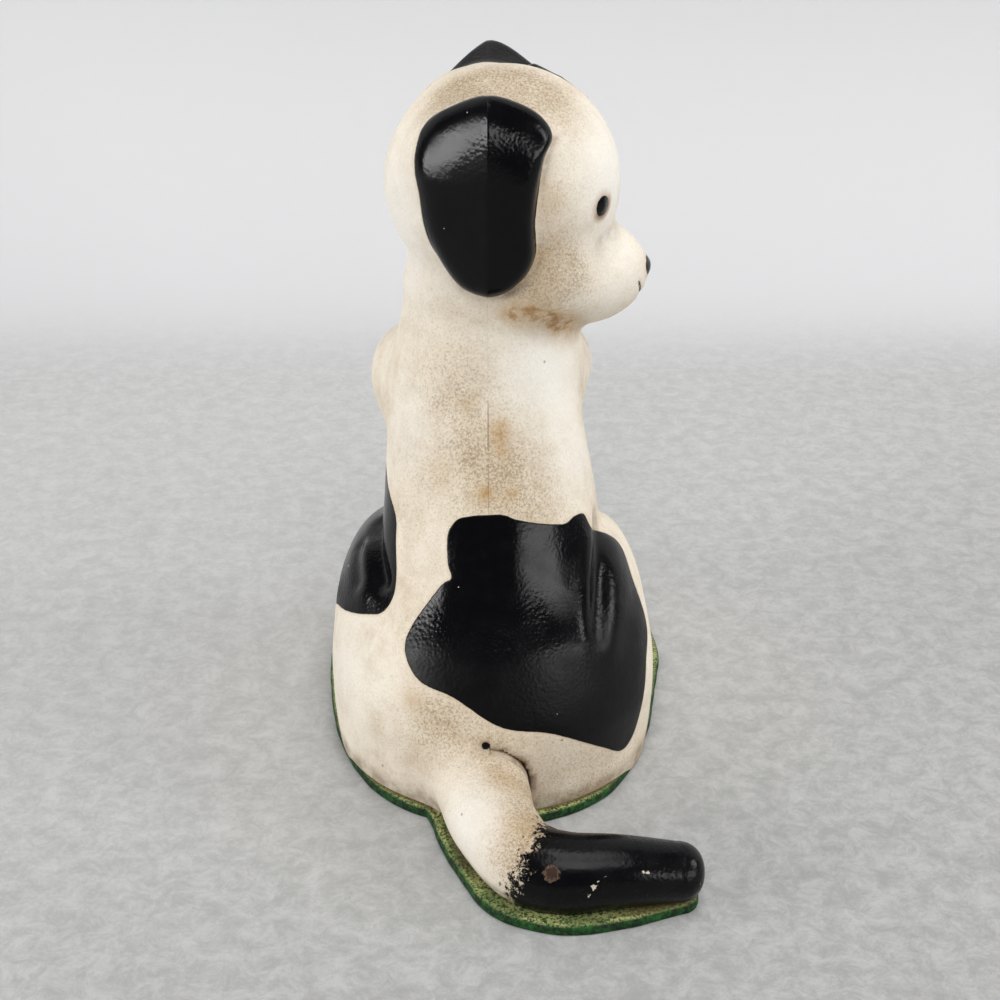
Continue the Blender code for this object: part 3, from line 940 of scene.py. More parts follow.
@dataclass(frozen=True)
class PaintScheme:
    """Where the black, the brown, the stains and the painted light lie on the figure."""

    puppy: Puppy
    saddle: Patch
    flank: Patch
    stains: tuple[Spot, ...]
    pale: tuple[Spot, ...]
    speckled: tuple[Spot, ...]
    scuffs: tuple[Spot, ...]
    tail_edge: Point = (6.6, -98.3, 14.9)
    tail_edge_way: Point = (0.892, -0.366, -0.265)
    neck_height: float = 112.0
    nose_spread: float = 0.35
    mouth_edge: float = 0.55
    mouth_slope: float = 1.4
    rim_fade: Flat = (2.2, 0.2)
    rim_least: float = 0.4
    rim_turn: Flat = (-1.5, 1.5)
    shelter_heights: tuple[Flat, ...] = ((2.0, 0.5), (5.0, 0.3), (10.0, 0.2))
    ridge_reach: float = 1.6

    def black(self, places: Array) -> Array:
        """Measure how far inside the black paint each place is: the patches, ears, eyes, nose and mouth, and
        the black painted shade in the pit at the tail's root.

        Args:
            places: Points of the skin, one row each.

        Returns:
            One depth for each point, in millimetres, negative outside.
        """
        puppy = self.puppy
        head = places[:, 2] > self.neck_height
        ears = np.full(len(places), -PAINT_REACH)
        ears[head] = puppy.bare_head(places[head]) - puppy.ears(places[head])
        mouth = (puppy.mouth.nearness(places) - self.mouth_edge) * self.mouth_slope
        depths = [self.saddle.depth(places), self.flank.depth(places)]
        depths += [np.clip(ears, -PAINT_REACH, PAINT_REACH), np.where(head, mouth, -PAINT_REACH)]
        depths += [eye.radius - away_from(eye.centre, places) for eye in puppy.eyes]
        depths += [self.nose_spread - puppy.nose.distance(places), self.pit(places)]
        return np.maximum.reduce(depths)

    def pit(self, places: Array) -> Array:
        """Return how far inside the pit's painted shade, a black dot at the tail's root, each place is,
        negative outside.
        """
        return self.puppy.pit_shade_radius - away_from(self.puppy.pit, places)

    def tail_black(self, places: Array) -> Array:
        """Return how far along the tail, past the slanting edge of its black end, each place is."""
        way = np.array(self.tail_edge_way)
        return (places - np.array(self.tail_edge)) @ (way / np.linalg.norm(way))

    def eye_rim(self, places: Array) -> Array:
        """Tell how much of the brown rim round the eyes each place takes, most in front of and below them.

        Args:
            places: Points of the skin, one row each.

        Returns:
            One value for each point, 1 on the rim and 0 away from it.
        """
        rim = np.zeros(len(places))
        for eye in self.puppy.eyes:
            offset = places - np.array(eye.centre)
            fade = ramp(*self.rim_fade, away_from(eye.centre, places) - eye.radius)
            front = ramp(*self.rim_turn, offset[:, 0] - offset[:, 2])
            rim = np.maximum(rim, fade * (self.rim_least + (1.0 - self.rim_least) * front))
        return rim

    def spotted(self, spots: tuple[Spot, ...], places: Array) -> Array:
        """Return how strongly the spots reach each place, from 0 to 1, as the sum of their bell curves.

        Args:
            spots: The spots.
            places: Points of the skin, one row each.

        Returns:
            One value for each point.
        """
        total = np.zeros(len(places))
        for spot in spots:
            total += spot.strength * bell(away_from(spot.centre, places), spot.spread)
        return np.clip(total, 0.0, 1.0)

    # How sheltered a place is sets the painted shade, with grime, in the cream's hollows and on the plate's
    # top beside the figure.
    def shelter(self, places: Array, normals: Array) -> Array:
        """Tell how sheltered each place is: by how far the room round a point lifted off it falls short.

        Args:
            places: Points of the skin, one row each.
            normals: The outward direction at each.

        Returns:
            One value for each point, the weighted sum over several lifts.
        """
        total = np.zeros(len(places))
        for height, weight in self.shelter_heights:
            room = self.puppy.near_all(places + normals * height)
            total += weight * np.clip((height - room) / height, 0.0, 1.0)
        return total

    def ridge(self, places: Array) -> Array:
        """Tell how sharply each place bulges: the field's sum over six neighbours less six times its own.

        Args:
            places: Points of the skin, one row each.

        Returns:
            One value for each point, over the square of the reach to the neighbours, from -1 to 1.
        """
        ways = [sign * way for way in np.eye(3) for sign in (-1.0, 1.0)]
        total = -len(ways) * self.puppy.near_all(places)
        for way in ways:
            total += self.puppy.near_all(places + way * self.ridge_reach)
        return np.clip(total / self.ridge_reach**2, -1.0, 1.0)

    def store(self, item: bpy.types.Object, places: Array) -> None:
        """Store the values that a half and the tail paint alike.

        Args:
            item: The object.
            places: Its points in the casting frame, one row each.
        """
        normals = np.zeros(len(places) * 3, dtype=np.float32)
        item.data.vertices.foreach_get("normal", normals)
        set_value(item, "shelter", self.shelter(places, normals.reshape(-1, 3)))
        set_value(item, "ridge", self.ridge(places))
        set_value(item, "stain", self.spotted(self.stains, places))
        set_value(item, "pale", self.spotted(self.pale, places))


@dataclass(frozen=True)
class PackedFrame:
    """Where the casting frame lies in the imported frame."""

    shift: Point

    @staticmethod
    def from_nodes() -> PackedFrame:
        """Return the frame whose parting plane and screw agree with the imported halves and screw.

        Returns:
            The frame.
        """
        right_low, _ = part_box("right_half")
        screw_low, screw_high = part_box("assembly_screw")
        parting = right_low.x / MM - PARTING_GAP / 2.0
        depth = (screw_low.y + screw_high.y) / 2.0 / MM - SCREW_AXIS[0]
        return PackedFrame((parting, depth, 0.0))

    def metres(self, places: Array) -> Array:
        """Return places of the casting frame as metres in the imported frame."""
        return (places + np.array(self.shift)) * MM


def made_mesh(
    name: str, places: Array, faces: list[list[int]], smooth: Array | bool = True
) -> bpy.types.Object:
    """Put points and faces into a linked object at the origin.

    Args:
        name: The object's name.
        places: Points in metres, one row each.
        faces: The corners of each face.
        smooth: Whether faces are shaded smooth, for all or for each.

    Returns:
        The new object.
    """
    mesh = bpy.data.meshes.new(name)
    mesh.from_pydata(places.tolist(), [], faces)
    flags = np.broadcast_to(np.asarray(smooth, dtype=bool), (len(faces),))
    mesh.polygons.foreach_set("use_smooth", np.ascontiguousarray(flags))
    mesh.edges.foreach_set("use_edge_sharp", flat_face_edges(mesh, flags))
    mesh.update()
    item = bpy.data.objects.new(name, mesh)
    bpy.context.scene.collection.objects.link(item)
    return item


def flat_face_edges(mesh: bpy.types.Mesh, smooth: Array) -> Array:
    """Tell for each edge of a mesh whether a flat face borders it, where the smooth shading must stop.

    Args:
        mesh: The mesh.
        smooth: Whether each face is shaded smooth.

    Returns:
        One truth value for each edge.
    """
    corners = np.zeros(len(mesh.polygons), dtype=np.int32)
    mesh.polygons.foreach_get("loop_total", corners)
    edge = np.zeros(len(mesh.loops), dtype=np.int32)
    mesh.loops.foreach_get("edge_index", edge)
    sharp = np.zeros(len(mesh.edges), dtype=bool)
    sharp[edge[np.repeat(~smooth, corners)]] = True
    return sharp


def set_value(item: bpy.types.Object, name: str, values: Array | float) -> None:
    """Store one number for each point of a mesh under a name that its material reads.

    Args:
        item: The object.
        name: The name.
        values: The numbers, or one number for all.
    """
    layer = item.data.attributes.new(name, "FLOAT", "POINT")
    numbers = np.broadcast_to(np.asarray(values, dtype=np.float32), (len(layer.data),))
    layer.data.foreach_set("value", np.ascontiguousarray(numbers))


def pole_faces(first: int, count: int, pole: int, wrap: bool, flip: bool) -> list[list[int]]:
    """Return the triangles that join a grid's last row to one point.

    Args:
        first: Index of the row's first point.
        count: Points in the row.
        pole: Index of the one point.
        wrap: Whether the row's last point joins its first.
        flip: Whether the faces look the other way.

    Returns:
        The corners of each face.
    """
    pairs = [(first + index, first + (index + 1) % count) for index in range(count if wrap else count - 1)]
    return [[end, start, pole] if flip else [start, end, pole] for start, end in pairs]


def grid_faces(rows: int, columns: int, wrap: bool, flip: bool, first: int = 0) -> list[list[int]]:
    """Return the four-cornered faces of a grid of points.

    Args:
        rows: Rows of points.
        columns: Points in each row.
        wrap: Whether each row's last point joins its first.
        flip: Whether the faces look the other way.
        first: Index of the grid's first point.

    Returns:
        The corners of each face.
    """
    across = columns if wrap else columns - 1
    row, column = np.meshgrid(np.arange(rows - 1), np.arange(across), indexing="ij")
    following = (column + 1) % columns
    corners = [row * columns + column, row * columns + following]
    corners += [(row + 1) * columns + following, (row + 1) * columns + column]
    faces = np.stack(corners, axis=2).reshape(-1, 4) + first
    return (faces[:, ::-1] if flip else faces).tolist()


@dataclass(frozen=True)
class Noise:
    """A noise pattern, in waves a metre, and the limits that it is eased between, where it has any."""

    scale: float
    detail: float = 3.0
    rough: float = 0.55
    limits: Flat | None = None
    levels: Flat = (0.0, 1.0)
    shift: Point = (0.0, 0.0, 0.0)
    twist: float = 0.0


@dataclass(frozen=True)
class Flecks:
    """Some cells of a pattern: cells a metre, which random values are chosen, and their size and strength."""

    scale: float
    chosen: Flat
    size: Flat
    strength: float = 1.0


class Bench:
    """Adds and links shader nodes in one material or world."""

    def __init__(self, tree: bpy.types.NodeTree) -> None:
        """Start on an emptied node tree."""
        self.tree = tree
        self.tree.nodes.clear()

    def node(self, kind: str, settings: dict | None = None, **inputs: object) -> bpy.types.Node:
        """Add a node.

        Args:
            kind: The node's type.
            settings: Values for the node's own properties.
            inputs: A value or another node's socket for each named input, with underscores for spaces.

        Returns:
            The new node.
        """
        made = self.tree.nodes.new(kind)
        for key, value in (settings or {}).items():
            setattr(made, key, value)
        for key, value in inputs.items():
            self.feed(made.inputs[key.replace("_", " ")], value)
        return made

    def feed(self, socket: bpy.types.NodeSocket, value: object) -> None:
        """Link another node's socket to an input, or set the input's value.

        Args:
            socket: The input.
            value: The other socket or the value.
        """
        if isinstance(value, bpy.types.NodeSocket):
            self.tree.links.new(value, socket)
        else:
            socket.default_value = value

    def math(self, operation: str, *values: object) -> bpy.types.NodeSocket:
        """Add a math node.

        Args:
            operation: What it does.
            values: One to three values or sockets.

        Returns:
            The result.
        """
        made = self.node("ShaderNodeMath", {"operation": operation})
        for socket, value in zip(made.inputs, values):
            self.feed(socket, value)
        return made.outputs[0]

    def times(self, first: object, second: object) -> bpy.types.NodeSocket:
        """Return the product of two values."""
        return self.math("MULTIPLY", first, second)

    def plus(self, first: object, second: object) -> bpy.types.NodeSocket:
        """Return the sum of two values."""
        return self.math("ADD", first, second)

    def ranged(
        self, value: object, low: float, high: float, to_low: float = 0.0, to_high: float = 1.0
    ) -> bpy.types.NodeSocket:
        """Ease a value from one range to another and keep it within that.

        Args:
            value: The value.
            low: Where the first range starts.
            high: Where it ends, which may be below its start.
            to_low: What the first range's start becomes.
            to_high: What its end becomes.

        Returns:
            The eased value.
        """
        made = self.node("ShaderNodeMapRange", {"interpolation_type": "SMOOTHSTEP"}, Value=value)
        for key, limit in (("From Min", low), ("From Max", high), ("To Min", to_low), ("To Max", to_high)):
            made.inputs[key].default_value = limit
        return made.outputs["Result"]

    def blend(self, factor: object, first: object, second: object) -> bpy.types.NodeSocket:
        """Mix two colours.

        Args:
            factor: How much of the second one shows.
            first: The first colour.
            second: The second colour.

        Returns:
            The mixed colour.
        """
        made = self.node("ShaderNodeMix", {"data_type": "RGBA", "blend_type": "MIX", "clamp_factor": True})
        for index, value in ((0, factor), (6, first), (7, second)):
            self.feed(made.inputs[index], value)
        return made.outputs[2]

    def layered(self, base: object, *layers: tuple[object, object]) -> object:
        """Lay colours over a base one after another.

        Args:
            base: The base colour.
            layers: How much of each colour shows, and the colour.

        Returns:
            The mixed colour.
        """
        for factor, colour in layers:
            base = self.blend(factor, base, colour)
        return base

    def noise(self, pattern: Noise) -> bpy.types.NodeSocket:
        """Return a noise pattern on the object's own coordinates.

        Args:
            pattern: The pattern.

        Returns:
            Its value, eased where the pattern has limits.
        """
        place = self.node("ShaderNodeTexCoord").outputs["Object"]
        moved = self.node("ShaderNodeMapping", Vector=place, Location=pattern.shift).outputs[0]
        made = self.node("ShaderNodeTexNoise", Vector=moved, Scale=pattern.scale)
        made.inputs["Detail"].default_value = pattern.detail
        made.inputs["Roughness"].default_value = pattern.rough
        made.inputs["Distortion"].default_value = pattern.twist
        if pattern.limits is None:
            return made.outputs["Fac"]
        return self.ranged(made.outputs["Fac"], *pattern.limits, *pattern.levels)

    def cells(self, scale: float, feature: str = "F1") -> bpy.types.Node:
        """Return a cell pattern on the object's own coordinates, with the scale in cells a metre."""
        place = self.node("ShaderNodeTexCoord").outputs["Object"]
        return self.node("ShaderNodeTexVoronoi", {"feature": feature}, Vector=place, Scale=scale)

    def flecks(self, pattern: Flecks, ragged: object = None) -> bpy.types.NodeSocket:
        """Return where flecks lie.

        Args:
            pattern: The flecks.
            ragged: What breaks their edges, added to the distance from each middle.

        Returns:
            A value from 0 to the flecks' strength.
        """
        cell = self.cells(pattern.scale)
        size = cell.outputs["Distance"] if ragged is None else self.plus(cell.outputs["Distance"], ragged)
        chosen = self.ranged(cell.outputs["Color"], *pattern.chosen)
        return self.times(chosen, self.ranged(size, *pattern.size, 0.0, pattern.strength))

    def value(self, name: str) -> bpy.types.NodeSocket:
        """Return the number that the mesh stores for each point under a name."""
        return self.node("ShaderNodeAttribute", {"attribute_name": name}).outputs["Fac"]

    def bumped(self, height: object, distance: float, strength: float = 1.0) -> bpy.types.NodeSocket:
        """Shade a surface by a relief.

        Args:
            height: The relief.
            distance: What a height of 1 stands for, in millimetres.
            strength: How strongly the relief shows.

        Returns:
            The shading direction.
        """
        made = self.node("ShaderNodeBump", Height=height)
        made.inputs["Distance"].default_value = distance * MM
        made.inputs["Strength"].default_value = strength
        return made.outputs[0]

    def coat(self, **inputs: object) -> None:
        """Finish a material with one shader that takes the inputs."""
        shader = self.node("ShaderNodeBsdfPrincipled", **inputs)
        self.node("ShaderNodeOutputMaterial", Surface=shader.outputs[0])


def new_material(name: str) -> tuple[bpy.types.Material, Bench]:
    """Start a material.

    Args:
        name: Its name.

    Returns:
        The material and a bench on its empty node tree.
    """
    material = bpy.data.materials.new(name)
    material.use_nodes = True
    return material, Bench(material.node_tree)


def srgb(red: float, green: float, blue: float) -> Colour:
    """Turn a colour as it is on screen into the linear colour that a shader takes.

    Args:
        red: Red from 0 to 255.
        green: Green.
        blue: Blue.

    Returns:
        The linear colour, by the two-part curve of the sRGB standard.
    """
    parts = [value / 255.0 for value in (red, green, blue)]
    linear = [part / 12.92 if part <= 0.04045 else ((part + 0.055) / 1.055) ** 2.4 for part in parts]
    return (*linear, 1.0)


@dataclass(frozen=True)
class AgedPaint:
    """Cream paint gone tan in places, under glossy black patches, all on rough cast iron.

    Painted light whitens the cream where the figure is most lit and on bulges, and painted shade darkens its
    hollows and the pit at the tail's root.
    """

    name: str
    cream: Colour = srgb(242, 232, 215)
    tan: Colour = srgb(210, 193, 167)
    # White of the painted light on the most lit places, and of the painted highlight and rubbed paint on
    # bulges.
    lit_and_rubbed_white: Colour = srgb(245, 242, 235)
    umber: Colour = srgb(178, 152, 116)
    speck: Colour = srgb(138, 112, 80)
    # Brown of the grime dots, and of the painted shade with grime in the hollows.
    grime_and_shade: Colour = srgb(118, 92, 62)
    earth: Colour = srgb(138, 96, 58)
    ochre: Colour = srgb(186, 146, 88)
    rust: Colour = srgb(134, 90, 52)
    seam_dark: Colour = srgb(112, 98, 82)
    black: Colour = srgb(4, 4, 6)
    faded_black: Colour = srgb(13, 13, 16)
    chip: Colour = srgb(206, 196, 180)
    bare: Colour = srgb(54, 40, 32)
    bare_rim: Colour = srgb(112, 88, 72)
    clouds: Noise = Noise(38.0, 5.0, 0.6, (0.40, 0.68))
    mottle: Noise = Noise(170.0, 4.0, 0.65, (0.38, 0.70), shift=(0.3, 0.1, 0.7))
    grain: Noise = Noise(1300.0, 4.0, 0.75, (0.60, 0.40), shift=(0.6, 0.2, 0.4))
    smudges: Noise = Noise(75.0, 6.0, 0.72, (0.44, 0.76), (0.0, 0.45), (0.7, 0.5, 0.9))
    stain_breaks: Noise = Noise(260.0, 5.0, 0.75, (0.22, 0.64), shift=(0.5, 0.5, 0.1))
    seam_breaks: Noise = Noise(70.0, 3.0, 0.6, (0.40, 0.58), (0.05, 0.55), (0.1, 0.7, 0.2))
    crests: Noise = Noise(1600.0, 4.0, 0.85)
    crest_limits: Flat = (0.53, 0.70)
    points: Flecks = Flecks(1700.0, (0.62, 0.70), (0.40, 0.15), 0.5)
    dots: Flecks = Flecks(240.0, (0.88, 0.89), (0.14, 0.05), 0.6)
    flakes: Flecks = Flecks(330.0, (0.88, 0.89), (0.25, 0.22))
    flake_edges: Noise = Noise(1200.0, 2.0)
    scuff_limits: Flat = (1.03, 1.12)
    black_edges: Noise = Noise(520.0, 6.0, 0.84)
    black_limits: Flat = (-0.06, 0.06)
    fading: Noise = Noise(300.0, 3.0, 0.55, (0.45, 0.8), (0.0, 0.5))
    knocks: Noise = Noise(1100.0, 5.0, 0.85)
    knocked_limits: Flat = (1.28, 1.34)
    core_limits: Flat = (1.36, 1.50)
    rubbing: Noise = Noise(120.0, 4.0, 0.6, (0.35, 0.75), (0.13, 0.25), (0.2, 0.8, 0.3))
    dulling: Noise = Noise(90.0, 3.0, 0.55, (0.3, 0.7), (0.52, 0.70))
    cast_grain: Noise = Noise(1500.0, 3.0, 0.65)
    grain_heights: Flat = (0.16, 0.04)
    swelling: Noise = Noise(330.0, 1.0, 0.4)
    peel_scale: float = 1150.0
    peeling: Noise = Noise(45.0, 2.0, 0.5, (0.36, 0.62), (0.02, 0.11), (0.3, 0.3, 0.9))
    step_limits: Flat = (-0.25, 0.30)

    def make(self) -> bpy.types.Material:
        """Build the material.

        The mesh stores how deep in the black each point lies, the pit's painted shade at the tail's root
        counted as black, and how ragged the black's edge is there. It stores how sheltered the point is, for
        painted shade in hollows; how bulging, for a painted highlight with rubbed paint; how stained, speckled
        and worn it is; and how pale, for painted light. It also stores how far off the seam lies, and how
        strongly the eyes' rims, the scuffs and the bare spot reach the point. Noise breaks the edges and lays
        grain, speckle, grime and chips over the paint.

        Returns:
            The material.
        """
        material, bench = new_material(self.name)
        depth = bench.value("black_depth")
        wobble = bench.math("SUBTRACT", bench.noise(self.black_edges), 0.5)
        shifted = bench.plus(depth, bench.times(wobble, bench.value("ragged")))
        is_black = bench.ranged(shifted, *self.black_limits)
        chips, bare = self.chips(bench), self.knocked(bench, self.knocked_limits)
        whole = bench.math("SUBTRACT", 1.0, bench.math("MAXIMUM", chips, bare))
        iron = bench.blend(self.knocked(bench, self.core_limits), self.bare_rim, self.bare)
        worn_black = (bench.noise(self.fading), self.faded_black)
        black = bench.layered(self.black, worn_black, (chips, self.chip), (bare, iron))
        bench.coat(
            Base_Color=bench.blend(is_black, self.cream_colour(bench, depth), black),
            Roughness=self.roughness(bench, bench.times(is_black, whole)),
            Specular_IOR_Level=0.18,
            Normal=self.relief(bench, shifted, is_black, bench.math("SUBTRACT", 1.0, whole)),
        )
        return material

    def cream_colour(self, bench: Bench, depth: object) -> bpy.types.NodeSocket:
        """Return the cream's colour.

        Clouds of tan, and the white of painted light where the figure is most lit and on bulges, lie under a
        fine grain and brown points. Painted shade and grime fill the hollows, and the stains and the seam's
        dark line lie on top.

        Args:
            bench: The material's bench.
            depth: How far inside the black each place is.

        Returns:
            The colour.
        """
        clouds, mottle = bench.noise(self.clouds), bench.noise(self.mottle)
        # pale is the share of painted light, whitest where the figure is most lit.
        speckled, pale = bench.value("speckled"), bench.times(bench.value("pale"), 0.9)
        tanned = bench.plus(bench.times(clouds, 0.30), bench.times(mottle, 0.25))
        tanned = bench.plus(tanned, bench.times(speckled, 0.60))
        # A painted highlight on bulging places, together with paint rubbed paler there.
        rub_and_sheen = bench.ranged(bench.value("ridge"), 0.05, 0.5, 0.0, 0.6)
        base = bench.layered(self.cream, (tanned, self.tan), (pale, self.lit_and_rubbed_white), (rub_and_sheen, self.lit_and_rubbed_white))
        density = bench.plus(bench.times(clouds, 0.25), bench.times(speckled, 0.75))
        base = self.grained(bench, base, density)
        edge = bench.ranged(bench.math("ABSOLUTE", depth), 0.9, 0.05, 0.0, 0.5)
        # Painted shade together with grime: the cream darkens in sheltered hollows and creases.
        hollows = bench.ranged(bench.value("shelter"), 0.10, 0.50)
        shade_and_dirt = bench.times(bench.times(hollows, bench.ranged(mottle, -0.8, 0.9)), 0.6)
        base = self.stained(bench, bench.layered(base, (edge, self.tan), (shade_and_dirt, self.grime_and_shade)))
        line = bench.times(bench.ranged(bench.value("seam"), 0.32, 0.10), bench.noise(self.seam_breaks))
        rim = bench.times(bench.value("eye_rim"), 0.8)
        return bench.layered(base, (line, self.seam_dark), (rim, self.earth))

    def grained(self, bench: Bench, base: object, density: object) -> bpy.types.NodeSocket:
        """Lay the fine grain, the smudges, the brown points and the single dots over the cream.

        Args:
            bench: The material's bench.
            base: The cream's colour.
            density: How thickly grain and points lie at each place.

        Returns:
            The colour.
        """
        # Smudges and brown points thin out under the painted light on the most lit places.
        outside_painted_light = bench.math("SUBTRACT", 1.0, bench.times(bench.value("pale"), 0.8))
        grained = bench.blend(bench.noise(self.grain), base, self.tan)
        amount = bench.math("MULTIPLY_ADD", density, 0.30, 0.12)
        smudges = bench.times(bench.noise(self.smudges), outside_painted_light)
        pins = bench.times(self.stipple(bench, density), bench.math("MULTIPLY_ADD", density, 0.50, 0.32))
        layers = [(amount, grained), (smudges, self.umber), (bench.times(pins, outside_painted_light), self.speck)]
        return bench.layered(base, *layers, (bench.flecks(self.dots), self.grime_and_shade))

    def stained(self, bench: Bench, base: object) -> bpy.types.NodeSocket:
        """Lay the stains over the cream: an even umber, and broken ochre and rust.

        Args:
            bench: The material's bench.
            base: The cream's colour.

        Returns:
            The colour.
        """
        stain = bench.value("stain")
        broken = bench.times(stain, bench.noise(self.stain_breaks))
        even = bench.ranged(stain, 0.0, 1.0, 0.0, 0.35)
        wide, deep = bench.times(broken, 0.75), bench.ranged(broken, 0.5, 1.1, 0.0, 0.6)
        return bench.layered(base, (even, self.umber), (wide, self.ochre), (deep, self.rust))

    def stipple(self, bench: Bench, density: object) -> bpy.types.NodeSocket:
        """Return where fine brown points lie: the crests of a broken noise, wide where they are dense."""
        crests = bench.math("MULTIPLY_ADD", density, 0.13, bench.noise(self.crests))
        return bench.math("MAXIMUM", bench.ranged(crests, *self.crest_limits), bench.flecks(self.points))

    def chips(self, bench: Bench) -> bpy.types.NodeSocket:
        """Return where the black has chipped: rare small flakes and the scuffs, with broken edges.

        Args:
            bench: The material's bench.

        Returns:
            A value from 0 to 1.
        """
        rough = bench.noise(self.flake_edges)
        flakes = bench.flecks(self.flakes, bench.times(rough, 0.3))
        scuff = bench.ranged(bench.plus(bench.value("scuff"), rough), *self.scuff_limits)
        return bench.math("MAXIMUM", flakes, scuff)

    def knocked(self, bench: Bench, limits: Flat) -> bpy.types.NodeSocket:
        """Return where the paint is knocked off down to rusty iron; higher limits lie further in."""
        broken = bench.math("MULTIPLY_ADD", bench.noise(self.knocks), 1.6, bench.value("bare"))
        return bench.ranged(broken, *limits)

    def roughness(self, bench: Bench, glossy: object) -> bpy.types.NodeSocket:
        """Return the roughness: dull cream, and black that is glossy but unevenly rubbed and worn.

        Args:
            bench: The material's bench.
            glossy: How much of the glossy black each place shows.

        Returns:
            The roughness.
        """
        rub_and_sheen = bench.math("MULTIPLY_ADD", bench.value("worn"), 0.25, bench.noise(self.rubbing))
        made = bench.node("ShaderNodeMix", {"data_type": "FLOAT"})
        for index, value in ((0, glossy), (2, bench.noise(self.dulling)), (3, rub_and_sheen)):
            bench.feed(made.inputs[index], value)
        return made.outputs[0]

    def relief(self, bench: Bench, shifted: object, is_black: object, lost: object) -> bpy.types.NodeSocket:
        """Return the small relief: cast grain, orange peel in the black, and the black paint's thickness.

        Args:
            bench: The material's bench.
            shifted: How far inside the black's broken edge each place is.
            is_black: Where the black lies.
            lost: Where it has come off.

        Returns:
            The shading direction.
        """
        grain = bench.ranged(is_black, 0.0, 1.0, *self.grain_heights)
        grain = bench.times(bench.noise(self.cast_grain), grain)
        swell = bench.times(bench.noise(self.swelling), 0.06)
        peel = bench.cells(self.peel_scale, "SMOOTH_F1").outputs["Distance"]
        peel = bench.times(peel, bench.noise(self.peeling))
        step = bench.times(bench.ranged(shifted, *self.step_limits), 0.20)
        height = bench.plus(bench.plus(grain, swell), bench.plus(step, peel))
        return bench.bumped(bench.plus(height, bench.times(lost, -0.10)), 1.0, 0.8)


@dataclass(frozen=True)
class WornGreen:
    """Green paint of the ground plate, thick and dark on its edge, yellowed and speckled on top, the flecks
    partly painted light on the upward face, with brown painted shade and dirt beside the figure.
    """

    name: str
    dark: Colour = srgb(8, 30, 10)
    leaf: Colour = srgb(34, 92, 34)
    yellowed_and_lit: Colour = srgb(186, 190, 124)
    # Brown of the painted shade with dirt on the top face beside the figure.
    brown: Colour = srgb(92, 78, 46)
    clouds: Noise = Noise(520.0, 5.0, 0.8, (0.40, 0.66))
    flecks: Noise = Noise(1500.0, 3.0, 0.7, (0.38, 0.58))
    wear: Noise = Noise(70.0, 3.0, 0.6, (0.35, 0.62), (0.45, 1.0), (0.4, 0.2, 0.0))
    grain: Noise = Noise(900.0, 4.0, 0.7)
    swelling: Noise = Noise(250.0, 2.0)
    top_heights: Flat = (2.2, 2.95)
    shade_and_dirt_limits: Flat = (0.72, 0.95)

    def make(self) -> bpy.types.Material:
        """Build the material: greens clouded by noise, yellowed flecks on the top face that are partly painted
        light, and brown painted shade with dirt beside the figure.

        Returns:
            The material.
        """
        material, bench = new_material(self.name)
        # Flecks on the top face only: yellowed, worn paint, and painted light on the face that looks up.
        top = bench.ranged(bench.value("height"), *self.top_heights)
        fleck = bench.times(bench.times(bench.noise(self.flecks), bench.noise(self.wear)), top)
        # Painted shade with dirt: brown on the top face where the figure shelters it.
        shade_and_dirt = bench.times(bench.ranged(bench.value("shelter"), *self.shade_and_dirt_limits), 0.8)
        shade_and_dirt = bench.times(shade_and_dirt, top)
        greens = bench.blend(bench.noise(self.clouds), self.dark, self.leaf)
        height = bench.plus(bench.noise(self.grain), bench.times(bench.noise(self.swelling), 1.2))
        bench.coat(
            Base_Color=bench.layered(greens, (fleck, self.yellowed_and_lit), (shade_and_dirt, self.brown)),
            Roughness=0.6,
            Specular_IOR_Level=0.25,
            Normal=bench.bumped(height, 0.45),
        )
        return material


@dataclass(frozen=True)
class BareMetal:
    """Unpainted metal under clouds of a brown bloom that is rougher than the metal."""

    name: str
    metal: Colour
    bloom: Colour
    clouds: Noise
    roughness: Flat
    grain: Noise
    grain_height: float
    metallic: float

    def make(self) -> bpy.types.Material:
        """Build the material: the metal, its clouds of bloom and its grainy surface.

        Returns:
            The material.
        """
        material, bench = new_material(self.name)
        clouds = bench.noise(self.clouds)
        bench.coat(
            Base_Color=bench.blend(clouds, self.metal, self.bloom),
            Roughness=bench.ranged(clouds, 0.0, 1.0, *self.roughness),
            Metallic=self.metallic,
            Normal=bench.bumped(bench.noise(self.grain), self.grain_height),
        )
        return material


def bare_iron(name: str) -> BareMetal:
    """Describe a casting's flat parting face and underside: ground iron with a thin rust.

    Args:
        name: The material's name.

    Returns:
        The finish.
    """
    clouds = Noise(110.0, 5.0, 0.65, (0.42, 0.66))
    grain = Noise(1300.0, 4.0, 0.6)
    return BareMetal(name, srgb(58, 54, 52), srgb(92, 60, 42), clouds, (0.5, 0.85), grain, 0.15, 0.35)


def dull_steel(name: str) -> BareMetal:
    """Describe the screw: turned steel, browned in places.

    Args:
        name: The material's name.

    Returns:
        The finish.
    """
    clouds = Noise(500.0, 4.0, 0.65, (0.45, 0.65))
    grain = Noise(1800.0, 3.0)
    return BareMetal(name, srgb(150, 146, 140), srgb(92, 66, 48), clouds, (0.34, 0.7), grain, 0.05, 1.0)


